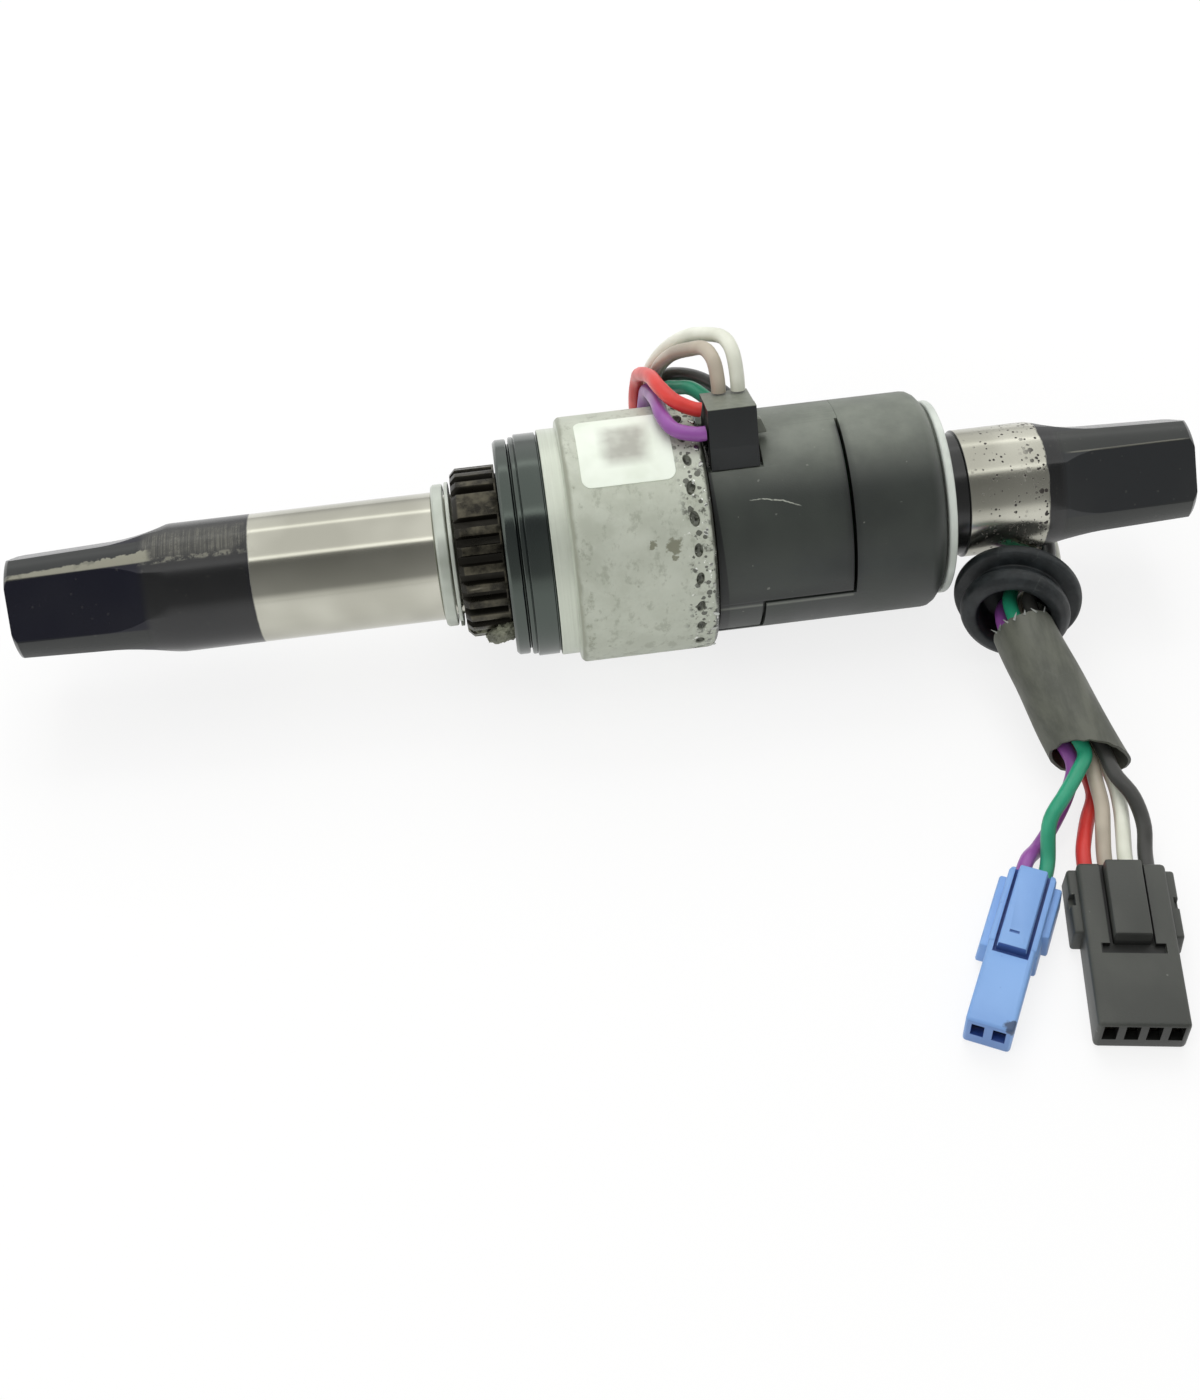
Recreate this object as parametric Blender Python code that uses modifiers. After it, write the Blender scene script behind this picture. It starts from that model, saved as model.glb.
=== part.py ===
"""Bottom bracket torque sensor: a square taper crank spindle in a bearing housing, with a
splined torque sleeve, a coil pickup round it, and a wiring harness with two connectors.

The spindle lies along X, with the splined side at -X. Z is up. The origin is on the spindle's
axis at the middle of its length. Sizes are in millimetres and are turned into metres when the
meshes are made. A station is a distance along the spindle from its left tip. An angle round
the spindle starts at -Y and grows towards +Z.
"""
from math import cos, pi, radians, sin, sqrt

import bmesh
import bpy
from mathutils import Matrix, Vector

MM = 0.001
GAP = 0.3                      # clearance between pieces that touch
FINE_SEGMENTS = 36             # facets round a visible turned piece
PLAIN_SEGMENTS = 24            # facets round a hidden turned piece
MERGE = 0.00001

# Crank spindle
SPINDLE_LENGTH = 156.0
SPINDLE_R = 8.5
FLAT_SHARE = 12.7 / 17.0       # width across the flats at the tip over the spindle's diameter
FLAT_HALF = SPINDLE_R * FLAT_SHARE
FLAT_TAPER = radians(2.0)
FLAT_LENGTH = 17.4
FLAT_RUNOUT = radians(22.0)    # slope of the cut's end
FLAT_ANGLE = radians(40.0)     # direction that one flat faces
CORNER_TIP_DROP = 0.9          # how far a flat's corners lie below the full radius at the tip
CORNER_ROOT_DROP = 0.35
CORNER_TIP_R = SPINDLE_R - CORNER_TIP_DROP
CORNER_ROOT_R = SPINDLE_R - CORNER_ROOT_DROP
NECK_LENGTH = 21.0
TIP_CHAMFER = 0.6
BOLT_HOLE_R = 3.6
BOLT_HOLE_DEPTH = 22.0
BOLT_MOUTH_R = 4.5
BOLT_MOUTH_DEPTH = 1.0
RIM_GROOVE_DEPTH = 0.55        # snap ring grooves
LEFT_OVERHANG = 55.6           # bare spindle left of the collar
RIGHT_OVERHANG = 30.7          # bare spindle right of the undercut
UNDERCUT_WIDTH = 2.4
UNDERCUT_DEPTH = 0.3
UNDERCUT_FROM_WASHER = 0.5

# Collar and snap ring left of the splines
COLLAR_WIDTH = 1.5
COLLAR_HEIGHT = 0.95
COLLAR_R = SPINDLE_R + COLLAR_HEIGHT
SNAP_WIDTH = 0.6
SNAP_HEIGHT = 1.35
SNAP_OPENING = radians(24.0)
SNAP_OPENING_AT = radians(-34.0)

# Torque sleeve
SLEEVE_FROM_GROOVE = 1.4
SLEEVE_INTO_BOARD = 0.5
SLEEVE_WALL = 0.9              # under the coils, where torque is measured
SEAT_HEIGHT = 0.3
SLEEVE_GAUGE_R = SPINDLE_R + GAP + SLEEVE_WALL
SLEEVE_SEAT_R = SLEEVE_GAUGE_R + SEAT_HEIGHT
SEAT_PAST_BEARING = 0.1
SPLINE_LENGTH = 6.1
SPLINE_DEPTH = 1.05
SPLINE_ROOT_R = SLEEVE_SEAT_R + 0.15
SPLINE_R = SPLINE_ROOT_R + SPLINE_DEPTH
SPLINE_CUT_DEPTH = 2.5         # height of a groove's cutter
SPLINE_CHAMFER = 0.7
SPLINE_TEETH = 28
GROOVE_WIDTH_ROOT = 0.95
GROOVE_WIDTH_TIP = 1.45
MASTER_AT = radians(78.0)      # middle of the extra wide tooth
SLEEVE_BORE_R = SPINDLE_R + GAP

# Ball bearings
BALL_CLEARANCE = 0.3
LEFT_BEARING_WIDTH = 5.0
LEFT_BEARING_HEIGHT = 4.1
LEFT_BALL_R = 1.25
LEFT_BALLS = 8
LEFT_OUTER_R = SLEEVE_SEAT_R + GAP + LEFT_BEARING_HEIGHT
RIGHT_BEARING_WIDTH = 4.2
RIGHT_BEARING_HEIGHT = 3.7
RIGHT_BALL_R = 1.05
RIGHT_BALLS = 8
RIGHT_OUTER_R = SPINDLE_R + GAP + RIGHT_BEARING_HEIGHT
RING_WALL = 1.1

# Seal flinger and bearing cap
FLINGER_WIDTH = 1.35
FLINGER_R = LEFT_OUTER_R - 0.1
FLINGER_LIP_R = FLINGER_R - 0.7
FLINGER_LIP_WIDTH = 0.7
FLINGER_LIP_WALL = 0.6
FLINGER_LEFT_CHAMFER = 0.4
FLINGER_RIGHT_CHAMFER = 0.25
CAP_FROM_LIP = 0.75
CAP_WIDTH = 2.3
CAP_R = LEFT_OUTER_R + 0.35
CAP_BORE_R = SLEEVE_SEAT_R + 0.6
CAP_HUB_WALL = 1.4
CAP_CHAMFER = 0.5

# Cast housing
SPIGOT_WIDTH = 2.5
SPIGOT_R = LEFT_OUTER_R + 0.6
BODY_LENGTH = 18.0
BODY_WALL = 1.9                # round the bearing
BODY_R = LEFT_OUTER_R + BODY_WALL
BODY_CHAMFER = 0.5
BODY_BORE_R = LEFT_OUTER_R - 1.2
BODY_EDGE_CHAMFER = 0.7
BEARING_INSET = 1.0            # left bearing behind the body's left face
STAKE_COUNT = 26
STAKE_FROM_END = 2.4
STAKE_WIDTH = 1.5
STAKE_LENGTH = 1.1
STAKE_DEPTH = 0.7
STAKE_AT = radians(47.7)

# Coils and board, one after the other inside the cover
BOBBIN_FROM_BEARING = 3.8
BOARD_FROM_BOBBIN = 1.4
BOBBIN_WALL = 0.6
BOBBIN_FLANGE_R = SLEEVE_GAUGE_R + 2.3
BOBBIN_FLANGE_WIDTH = 1.0
COIL_R = BOBBIN_FLANGE_R - GAP
SHIELD_WALL = 0.35
BOARD_THICKNESS = 1.2
BOARD_BORE_R = SLEEVE_GAUGE_R + 0.8
INNER_ROOM = 1.0               # left free on each side of the magnet
MAGNET_WIDTH = 2.0
MAGNET_R = SPINDLE_R + 2.7
RIGHT_BEARING_ROOM = 1.3       # for the snap ring, up to the cover's end wall

# Moulded cover
COVER_LENGTH = 29.9
COVER_R = LEFT_OUTER_R + 0.05
COVER_WALL = 1.55
COVER_END_WALL = 1.3
COVER_END_CHAMFER = 1.6
PANEL_LENGTH = 17.4
PANEL_START_AT = radians(-8.0)
PANEL_END_AT = radians(188.0)
TONGUE_LENGTH = 5.6
TONGUE_AT = radians(-33.0)
TONGUE_WALL = 0.75
TONGUE_SINK = 0.06             # how far the tongue lies below the lid's surface
WASHER_WIDTH = 1.1
WASHER_R = COVER_R - COVER_WALL

# Cable exit block, in a frame turned about the spindle
BLOCK_AT = radians(115.0)
BLOCK_INSET = 0.5
BLOCK_WIDTH = 6.2
BLOCK_FRONT = 9.9
BLOCK_DEPTH = 7.9
BLOCK_TOP = COVER_R + 4.05
BLOCK_BASE = COVER_R - 1.05
BLOCK_SKIRT_BASE = COVER_R - 3.7   # the front reaches further down, along the cover's curve
BLOCK_SKIRT_DEPTH = 2.0
WINDOW_REACH = 3.0             # how far the lid's window is cut above and below the block
BLOCK_EDGE = 0.35

# Harness
WIRE_R = 0.95
WIRE_PITCH = 2.2
GROMMET_R = 8.4
GROMMET_WIDTH = 5.0
GROMMET_GROOVE_R = 6.9
GROMMET_GROOVE_WIDTH = 1.6
GROMMET_BORE_R = 4.9
TUBE_START_R = 4.15
TUBE_END_R = 4.6
TUBE_WALL = 0.55
PIN_PITCH = 2.5
CONNECTOR_SIDE = 0.3
CONNECTOR_HEIGHT = 5.0
CONNECTOR_LENGTH = 22.6
WAY_SIZE = 1.9
WAY_MOUTH = 1.3
WAY_MOUTH_DEPTH = 1.0
WIRE_HOLE_CLEARANCE = 0.2
WIRE_HOLE_R = WIRE_R + WIRE_HOLE_CLEARANCE
WIRE_HOLE_DEPTH = 4.0
WIRE_ENTRY = 2.5
TERMINAL_LENGTH = 9.0
TERMINAL_WALL = 0.25
TERMINAL_FLOOR = 3.0           # left solid behind the socket
CONNECTOR_EDGE = 0.25
REAR_LENGTH = 11.3             # the wider part with the ears
REAR_INSET = 0.4
REAR_HEIGHT = 3.1
REAR_DROP = 0.3
LATCH_LENGTH = 9.5
LATCH_INSET = 0.3
LATCH_HEIGHT = 1.5
LATCH_ROOT = 1.0
BLUE_EAR = 1.0
BLUE_LATCH_WIDTH = 3.6
FOUR_EAR = 1.25
FOUR_LATCH_WIDTH = 4.5

# Harness routes. The wires run together from behind the casting to the tube's end
LAID_OUT_X = 13.1              # the cover's left edge along X for which the points are given
LAID_OUT_R = 16.3              # the casting's radius for which they are given
BUNDLE_ROUTE = [
    (9.4, 20.95, 7.6), (9.2, 23.2, 1.0), (10.4, 24.6, -5.6), (14.5, 25.6, -11.0), (21.5, 26.0, -12.9),
    (34.0, 25.3, -12.9), (46.0, 20.8, -12.9), (56.0, 12.5, -12.9), (60.3, 3.5, -12.9), (59.3, -4.0, -12.5),
    (56.6, -9.4, -10.6), (53.3, -13.9, -8.5), (51.8, -18.7, -7.9), (52.2, -24.5, -8.9), (53.8, -31.0, -10.3),
    (55.8, -38.0, -11.5)]
BUNDLE_STEP = 4.0
WIRE_STEP = 5.0                # spacing of the points along a finished wire
TUBE_LENGTH = 20.0             # length of the flexible tube on the end of the bundle
GROMMET_AT = (52.9, -14.0, -7.8)
GROMMET_AXIS = Vector((-0.36, -0.93, 0.10)).normalized()
WIRE_COLORS = {
    "red": (0.75, 0.09, 0.07), "purple": (0.38, 0.13, 0.42), "green": (0.08, 0.43, 0.27),
    "white": (0.84, 0.85, 0.76), "beige": (0.52, 0.47, 0.38), "black": (0.07, 0.07, 0.068)}
# Places of five wires round the beige one, in degrees
RING_SLOTS = {"purple": 234, "red": 162, "white": 90, "black": 18, "green": 306}
BUNDLE_TWIST = radians(36.0)
BLUE_REAR = (45.1, -53.6, -14.05)
BLUE_TURN = radians(-27.9)
FOUR_REAR = (55.6, -54.0, -14.05)
FOUR_TURN = radians(-9.5)
WIRE_WAYS = {"green": ("blue", 1), "purple": ("blue", 0), "red": ("four", 0), "beige": ("four", 1),
             "white": ("four", 2), "black": ("four", 3)}
WIRE_ENDS = {
    "green": [(53.6, -41.4, -9.6), (51.3, -44.2, -10.0), (48.8, -47.0, -11.3)],
    "purple": [(52.7, -41.8, -13.2), (50.1, -45.2, -14.7), (47.4, -48.2, -15.1)],
    "red": [(56.2, -41.8, -14.3), (54.6, -45.0, -14.7), (53.2, -48.2, -14.3)],
    "beige": [(56.3, -41.8, -12.0), (56.1, -45.0, -12.4), (55.4, -48.2, -13.2)],
    "white": [(58.8, -41.8, -12.8), (58.6, -45.0, -13.3), (58.0, -48.2, -13.7)],
    "black": [(58.3, -41.8, -10.2), (59.8, -45.0, -11.0), (60.4, -48.4, -12.6)]}
WIRE_DEPTHS = (-3.0, WIRE_ENTRY)

# Stations of the stack, left to right, each from its neighbour
STACK_LENGTH = (COLLAR_WIDTH + SLEEVE_FROM_GROOVE + SPLINE_LENGTH + GAP + FLINGER_WIDTH + FLINGER_LIP_WIDTH
                + CAP_FROM_LIP + CAP_WIDTH + GAP + SPIGOT_WIDTH + BODY_LENGTH + GAP + COVER_LENGTH + GAP
                + WASHER_WIDTH + UNDERCUT_FROM_WASHER + UNDERCUT_WIDTH)
COLLAR_START = (SPINDLE_LENGTH - STACK_LENGTH) * LEFT_OVERHANG / (LEFT_OVERHANG + RIGHT_OVERHANG)
LEFT_GROOVE = COLLAR_START + COLLAR_WIDTH
SLEEVE_START = LEFT_GROOVE + SLEEVE_FROM_GROOVE
FLINGER_START = SLEEVE_START + SPLINE_LENGTH + GAP
CAP_START = FLINGER_START + FLINGER_WIDTH + FLINGER_LIP_WIDTH + CAP_FROM_LIP
SPIGOT_START = CAP_START + CAP_WIDTH + GAP
BODY_START = SPIGOT_START + SPIGOT_WIDTH
BODY_END = BODY_START + BODY_LENGTH
COVER_START = BODY_END + GAP
COVER_END = COVER_START + COVER_LENGTH
WASHER_START = COVER_END + GAP
UNDERCUT_START = WASHER_START + WASHER_WIDTH + UNDERCUT_FROM_WASHER
UNDERCUT_END = UNDERCUT_START + UNDERCUT_WIDTH
BEARING_START = BODY_START + BEARING_INSET
BOBBIN_START = BEARING_START + LEFT_BEARING_WIDTH + BOBBIN_FROM_BEARING
RIGHT_GROOVE = COVER_END - COVER_END_WALL - RIGHT_BEARING_ROOM
RIGHT_BEARING_START = RIGHT_GROOVE - RIGHT_BEARING_WIDTH
MAGNET_START = RIGHT_BEARING_START - INNER_ROOM - MAGNET_WIDTH
BOARD_START = MAGNET_START - INNER_ROOM - BOARD_THICKNESS
BOBBIN_LENGTH = BOARD_START - BOARD_FROM_BOBBIN - BOBBIN_START
SLEEVE_LENGTH = BOARD_START + SLEEVE_INTO_BOARD - SLEEVE_START

HALF = SPINDLE_LENGTH / 2
GROWN = BODY_R - LAID_OUT_R
X_AXIS = Vector((1, 0, 0))
parts = bpy.data.collections.new("bottom_bracket_torque_sensor")
cutters = bpy.data.collections.new("cutters")


def clear_scene():
    """Remove every object, so that the script starts from nothing."""
    for item in list(bpy.data.objects):
        bpy.data.objects.remove(item, do_unlink=True)
    for group in (parts, cutters):
        bpy.context.scene.collection.children.link(group)


def material(name, color, roughness, metallic=0.0):
    """A plain Principled material."""
    made = bpy.data.materials.new(name)
    made.use_nodes = True
    shader = made.node_tree.nodes["Principled BSDF"]
    shader.inputs["Base Color"].default_value = (*color, 1.0)
    shader.inputs["Roughness"].default_value = roughness
    shader.inputs["Metallic"].default_value = metallic
    return made


def add_part(name, mesh, finish):
    """Put a mesh into the parts collection with its own material."""
    made = bpy.data.objects.new(name, mesh)
    parts.objects.link(made)
    color, roughness, metallic = finish
    mesh.materials.append(material(name, color, roughness, metallic))
    return made


def add_cutter(name, mesh):
    """Put a mesh into the cutters collection, out of the render."""
    made = bpy.data.objects.new(name, mesh)
    cutters.objects.link(made)
    made.hide_render = True
    made.display_type = "WIRE"
    return made


def turned_mesh(name, profile, closed):
    """A profile of (station, radius) points as an open or closed wire in the XZ plane."""
    mesh = bpy.data.meshes.new(name)
    points = [(r * MM, 0, (station - HALF) * MM) for station, r in profile]
    edges = [(i, i + 1) for i in range(len(points) - 1)]
    if closed:
        edges.append((len(points) - 1, 0))
    mesh.from_pydata(points, edges, [])
    return mesh


def turn(item, segments):
    """Spin the profile about the spindle's axis."""
    screw = item.modifiers.new("turn", "SCREW")
    screw.axis = "Z"
    screw.angle = 2 * pi
    screw.steps = segments
    screw.render_steps = segments
    screw.use_merge_vertices = True
    screw.merge_threshold = MERGE
    screw.use_smooth_shade = True
    item.rotation_euler = (Matrix.Rotation(pi / 2, 3, "Y") @ Matrix.Rotation(pi / segments, 3, "Z")).to_euler()
    return item


def turned(name, profile, finish, segments=FINE_SEGMENTS, closed=True):
    """A turned piece. The profile runs from right to left on the outer side, then back inside."""
    return turn(add_part(name, turned_mesh(name, profile, closed), finish), segments)


def ring(name, start, width, inner, outer, finish, segments=PLAIN_SEGMENTS):
    """A plain turned ring."""
    end = start + width
    return turned(name, [(end, outer), (start, outer), (start, inner), (end, inner)], finish, segments)


def boolean(item, cutter, operation="DIFFERENCE"):
    """Cut, join or intersect an object with another."""
    step = item.modifiers.new(cutter.name, "BOOLEAN")
    step.operation = operation
    step.solver = "EXACT"
    step.object = cutter
    return step


def around(station, radius, angle):
    """A world point, in millimetres, at a station, radius and angle."""
    return Vector((station - HALF, -radius * cos(angle), radius * sin(angle)))


def frame_at(station, radius, angle):
    """A matrix in metres whose X runs along the spindle and whose Z points out at the angle."""
    out = Vector((0, -cos(angle), sin(angle)))
    side = out.cross(X_AXIS)
    turned_axes = Matrix((X_AXIS, side, out)).transposed().to_4x4()
    return Matrix.Translation(around(station, radius, angle) * MM) @ turned_axes


def block_into(bm, size, matrix, top_scale=(1.0, 1.0)):
    """Add a box of a size in millimetres, its top face scaled, placed by a matrix in metres."""
    made = bmesh.ops.create_cube(bm, size=1.0)["verts"]
    for vert in made:
        grow = top_scale if vert.co.z > 0 else (1.0, 1.0)
        vert.co = Vector((vert.co.x * size[0] * grow[0], vert.co.y * size[1] * grow[1], vert.co.z * size[2])) * MM
    bmesh.ops.transform(bm, matrix=matrix, verts=made)
    return made


def mesh_from(name, bm):
    """Finish a bmesh as a mesh with its faces outwards."""
    bmesh.ops.recalc_face_normals(bm, faces=bm.faces)
    mesh = bpy.data.meshes.new(name)
    bm.to_mesh(mesh)
    bm.free()
    return mesh


def bevel(item, width, segments=1, angle=35.0):
    """Break the sharp edges of a piece."""
    step = item.modifiers.new("edges", "BEVEL")
    step.width = width * MM
    step.segments = segments
    step.limit_method = "ANGLE"
    step.angle_limit = radians(angle)
    return step


def sector_mesh(name, start, end, low, high, reach, steps=9):
    """A pie slice between two stations and two angles, with its point on the axis."""
    bm = bmesh.new()
    for station in (start, end):
        bm.verts.new(around(station, 0, 0) * MM)
        for step in range(steps):
            angle = low + (high - low) * step / (steps - 1)
            bm.verts.new(around(station, reach, angle) * MM)
    bm.verts.ensure_lookup_table()
    near, far = 0, steps + 1
    for step in range(steps - 1):
        bm.faces.new([bm.verts[near + k] for k in (0, step + 1, step + 2)])
        bm.faces.new([bm.verts[far + k] for k in (0, step + 2, step + 1)])
        bm.faces.new([bm.verts[k] for k in (near + step + 1, far + step + 1, far + step + 2, near + step + 2)])
    for step in (1, steps):
        bm.faces.new([bm.verts[k] for k in (near, far, far + step, near + step)])
    return mesh_from(name, bm)


BLACK_OXIDE = ((0.035, 0.038, 0.042), 0.35, 0.8)
GROUND_STEEL = ((0.55, 0.54, 0.50), 0.28, 1.0)
PALE_RING = ((0.55, 0.58, 0.52), 0.4, 0.3)
SPLINE_BLACK = ((0.045, 0.043, 0.034), 0.45, 0.6)
GLOSS_BLACK = ((0.03, 0.033, 0.038), 0.25, 0.2)
CASTING = ((0.42, 0.44, 0.38), 0.55, 0.5)
COVER_PLASTIC = ((0.055, 0.065, 0.06), 0.5, 0.0)
WHITE_PLASTIC = ((0.75, 0.77, 0.72), 0.45, 0.0)
BEARING_STEEL = ((0.5, 0.5, 0.5), 0.25, 1.0)
BOBBIN_PLASTIC = ((0.12, 0.12, 0.12), 0.5, 0.0)
COPPER = ((0.6, 0.27, 0.12), 0.35, 0.9)
BOARD_GREEN = ((0.03, 0.18, 0.08), 0.5, 0.0)
MAGNET_GREY = ((0.1, 0.1, 0.11), 0.5, 0.3)
RUBBER = ((0.03, 0.035, 0.038), 0.6, 0.0)
TUBE_GREY = ((0.11, 0.115, 0.095), 0.55, 0.0)
TIN = ((0.6, 0.58, 0.5), 0.35, 1.0)
BLUE = ((0.28, 0.47, 0.8), 0.4, 0.0)
BLACK_PLASTIC = ((0.08, 0.085, 0.08), 0.45, 0.0)


def snap_groove_profile(start):
    """The spindle's outline across a snap ring groove that starts at a station, right to left."""
    end = start + SNAP_WIDTH + 2 * GAP
    root = SPINDLE_R - RIM_GROOVE_DEPTH
    return [(end, SPINDLE_R), (end, root), (start, root), (start, SPINDLE_R)]


def crank_spindle():
    """The shaft: a turned bar with blind bolt holes and four tapered flats milled at each end."""
    length = SPINDLE_LENGTH
    right_end = [(length - BOLT_HOLE_DEPTH, 0), (length - BOLT_HOLE_DEPTH, BOLT_HOLE_R),
                 (length - BOLT_MOUTH_DEPTH, BOLT_HOLE_R), (length, BOLT_MOUTH_R),
                 (length, CORNER_TIP_R - TIP_CHAMFER), (length - TIP_CHAMFER, CORNER_TIP_R),
                 (length - FLAT_LENGTH, CORNER_ROOT_R), (length - NECK_LENGTH, SPINDLE_R)]
    left_end = [(length - station, radius) for station, radius in reversed(right_end)]
    undercut = [(UNDERCUT_END, SPINDLE_R), (UNDERCUT_END - UNDERCUT_DEPTH, SPINDLE_R - UNDERCUT_DEPTH),
                (UNDERCUT_START + UNDERCUT_DEPTH, SPINDLE_R - UNDERCUT_DEPTH), (UNDERCUT_START, SPINDLE_R)]
    profile = right_end + undercut + snap_groove_profile(RIGHT_GROOVE) + snap_groove_profile(LEFT_GROOVE) + left_end
    spindle = turned("crank_spindle", profile, BLACK_OXIDE, closed=False)
    bm = bmesh.new()
    reach = 4 * SPINDLE_R
    depth = 2 * SPINDLE_R
    for end in (-1, 1):
        for quarter in range(4):
            angle = FLAT_ANGLE + quarter * pi / 2
            out = Vector((0, -cos(angle), sin(angle)))
            side = out.cross(X_AXIS)
            along = X_AXIS * end
            tip = Vector((end * HALF, 0, 0)) + out * FLAT_HALF
            slope = (-along * cos(FLAT_TAPER) + out * sin(FLAT_TAPER))
            heel = tip + slope * FLAT_LENGTH
            runout = -along * cos(FLAT_RUNOUT) + out * sin(FLAT_RUNOUT)
            outline = [tip - slope * depth, heel, heel + runout * depth, tip - slope * depth + out * depth]
            rows = []
            for reach_side in (-reach / 2, reach / 2):
                rows.append([bm.verts.new((point + side * reach_side) * MM) for point in outline])
            bm.faces.new(rows[0])
            bm.faces.new(list(reversed(rows[1])))
            for k in range(4):
                bm.faces.new((rows[0][k], rows[1][k], rows[1][(k + 1) % 4], rows[0][(k + 1) % 4]))
    boolean(spindle, add_cutter("taper_flats", mesh_from("taper_flats", bm)))
    return spindle


def snap_ring(name, groove_start, finish):
    """An open ring that seats in a spindle groove."""
    inner = SPINDLE_R - RIM_GROOVE_DEPTH + GAP
    made = ring(name, groove_start + GAP, SNAP_WIDTH, inner, inner + SNAP_HEIGHT, finish)
    opening = sector_mesh(name + "_opening", groove_start - 1, groove_start + SNAP_WIDTH + 2,
                          SNAP_OPENING_AT - SNAP_OPENING / 2, SNAP_OPENING_AT + SNAP_OPENING / 2, 2 * SPINDLE_R, 3)
    boolean(made, add_cutter(name + "_opening", opening))
    return made


def torque_sleeve():
    """The hollow splined shaft, with its grooves cut by one cutter and one groove left out."""
    start = SLEEVE_START
    nose = start + SPLINE_LENGTH
    seat_end = BEARING_START + LEFT_BEARING_WIDTH + SEAT_PAST_BEARING
    profile = [(start + SLEEVE_LENGTH, SLEEVE_GAUGE_R), (seat_end, SLEEVE_GAUGE_R), (seat_end, SLEEVE_SEAT_R),
               (nose, SLEEVE_SEAT_R), (nose, SPLINE_R), (start + SPLINE_CHAMFER, SPLINE_R),
               (start, SPLINE_R - SPLINE_CHAMFER), (start, SLEEVE_BORE_R), (start + SLEEVE_LENGTH, SLEEVE_BORE_R)]
    sleeve = turned("torque_sleeve", profile, SPLINE_BLACK)
    bm = bmesh.new()
    depth = SPLINE_CUT_DEPTH
    middle = SPLINE_ROOT_R + depth / 2
    flare = (GROOVE_WIDTH_TIP - GROOVE_WIDTH_ROOT) / SPLINE_DEPTH
    top = GROOVE_WIDTH_ROOT + flare * depth
    pitch = 2 * pi / SPLINE_TEETH
    for tooth in range(1, SPLINE_TEETH):
        block_into(bm, (SPLINE_LENGTH + 2, GROOVE_WIDTH_ROOT, depth),
                   frame_at(start + SPLINE_LENGTH / 2 - 1.2, middle, MASTER_AT + tooth * pitch),
                   (1.0, top / GROOVE_WIDTH_ROOT))
    boolean(sleeve, add_cutter("spline_grooves", mesh_from("spline_grooves", bm)))
    return sleeve


def seal_and_cap():
    """The flinger that turns with the sleeve and the cap that holds the bearing."""
    end = FLINGER_START + FLINGER_WIDTH
    inner = SLEEVE_SEAT_R + GAP
    lip_end = end + FLINGER_LIP_WIDTH
    turned("seal_flinger", [(lip_end, FLINGER_LIP_R), (end, FLINGER_LIP_R), (end, FLINGER_R - FLINGER_RIGHT_CHAMFER),
                            (end - FLINGER_RIGHT_CHAMFER, FLINGER_R), (FLINGER_START + FLINGER_LEFT_CHAMFER, FLINGER_R),
                            (FLINGER_START, FLINGER_R - FLINGER_LEFT_CHAMFER),
                            (FLINGER_START, inner), (end, inner), (end, FLINGER_LIP_R - FLINGER_LIP_WALL),
                            (lip_end, FLINGER_LIP_R - FLINGER_LIP_WALL)], GLOSS_BLACK)
    cap_end = CAP_START + CAP_WIDTH
    hub_end = BEARING_START - GAP
    hub_r = LEFT_OUTER_R
    turned("bearing_cap", [(hub_end, hub_r), (cap_end, hub_r), (cap_end, CAP_R), (CAP_START + CAP_CHAMFER, CAP_R),
                           (CAP_START, CAP_R - CAP_CHAMFER), (CAP_START, CAP_BORE_R), (cap_end, CAP_BORE_R),
                           (cap_end, hub_r - CAP_HUB_WALL), (hub_end, hub_r - CAP_HUB_WALL)], GLOSS_BLACK)


def cast_housing():
    """The casting: spigot, body and the right edge staked over the cover with a ring of pockets."""
    seat_r = LEFT_OUTER_R + GAP
    seat_end = BEARING_START + LEFT_BEARING_WIDTH + GAP
    housing = turned("cast_housing",
                     [(BODY_END, BODY_R - BODY_EDGE_CHAMFER), (BODY_END - BODY_EDGE_CHAMFER, BODY_R),
                      (BODY_START + BODY_CHAMFER, BODY_R), (BODY_START, BODY_R - BODY_CHAMFER),
                      (BODY_START, SPIGOT_R), (SPIGOT_START, SPIGOT_R), (SPIGOT_START, seat_r),
                      (seat_end, seat_r), (seat_end, BODY_BORE_R), (BODY_END, BODY_BORE_R)], CASTING)
    bm = bmesh.new()
    for stake in range(STAKE_COUNT):
        angle = STAKE_AT + stake * 2 * pi / STAKE_COUNT
        block_into(bm, (STAKE_LENGTH, STAKE_WIDTH, 2 * STAKE_DEPTH),
                   frame_at(BODY_END - STAKE_FROM_END, BODY_R, angle), (1.4, 1.3))
    boolean(housing, add_cutter("stake_pockets", mesh_from("stake_pockets", bm)))
    return housing


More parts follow.
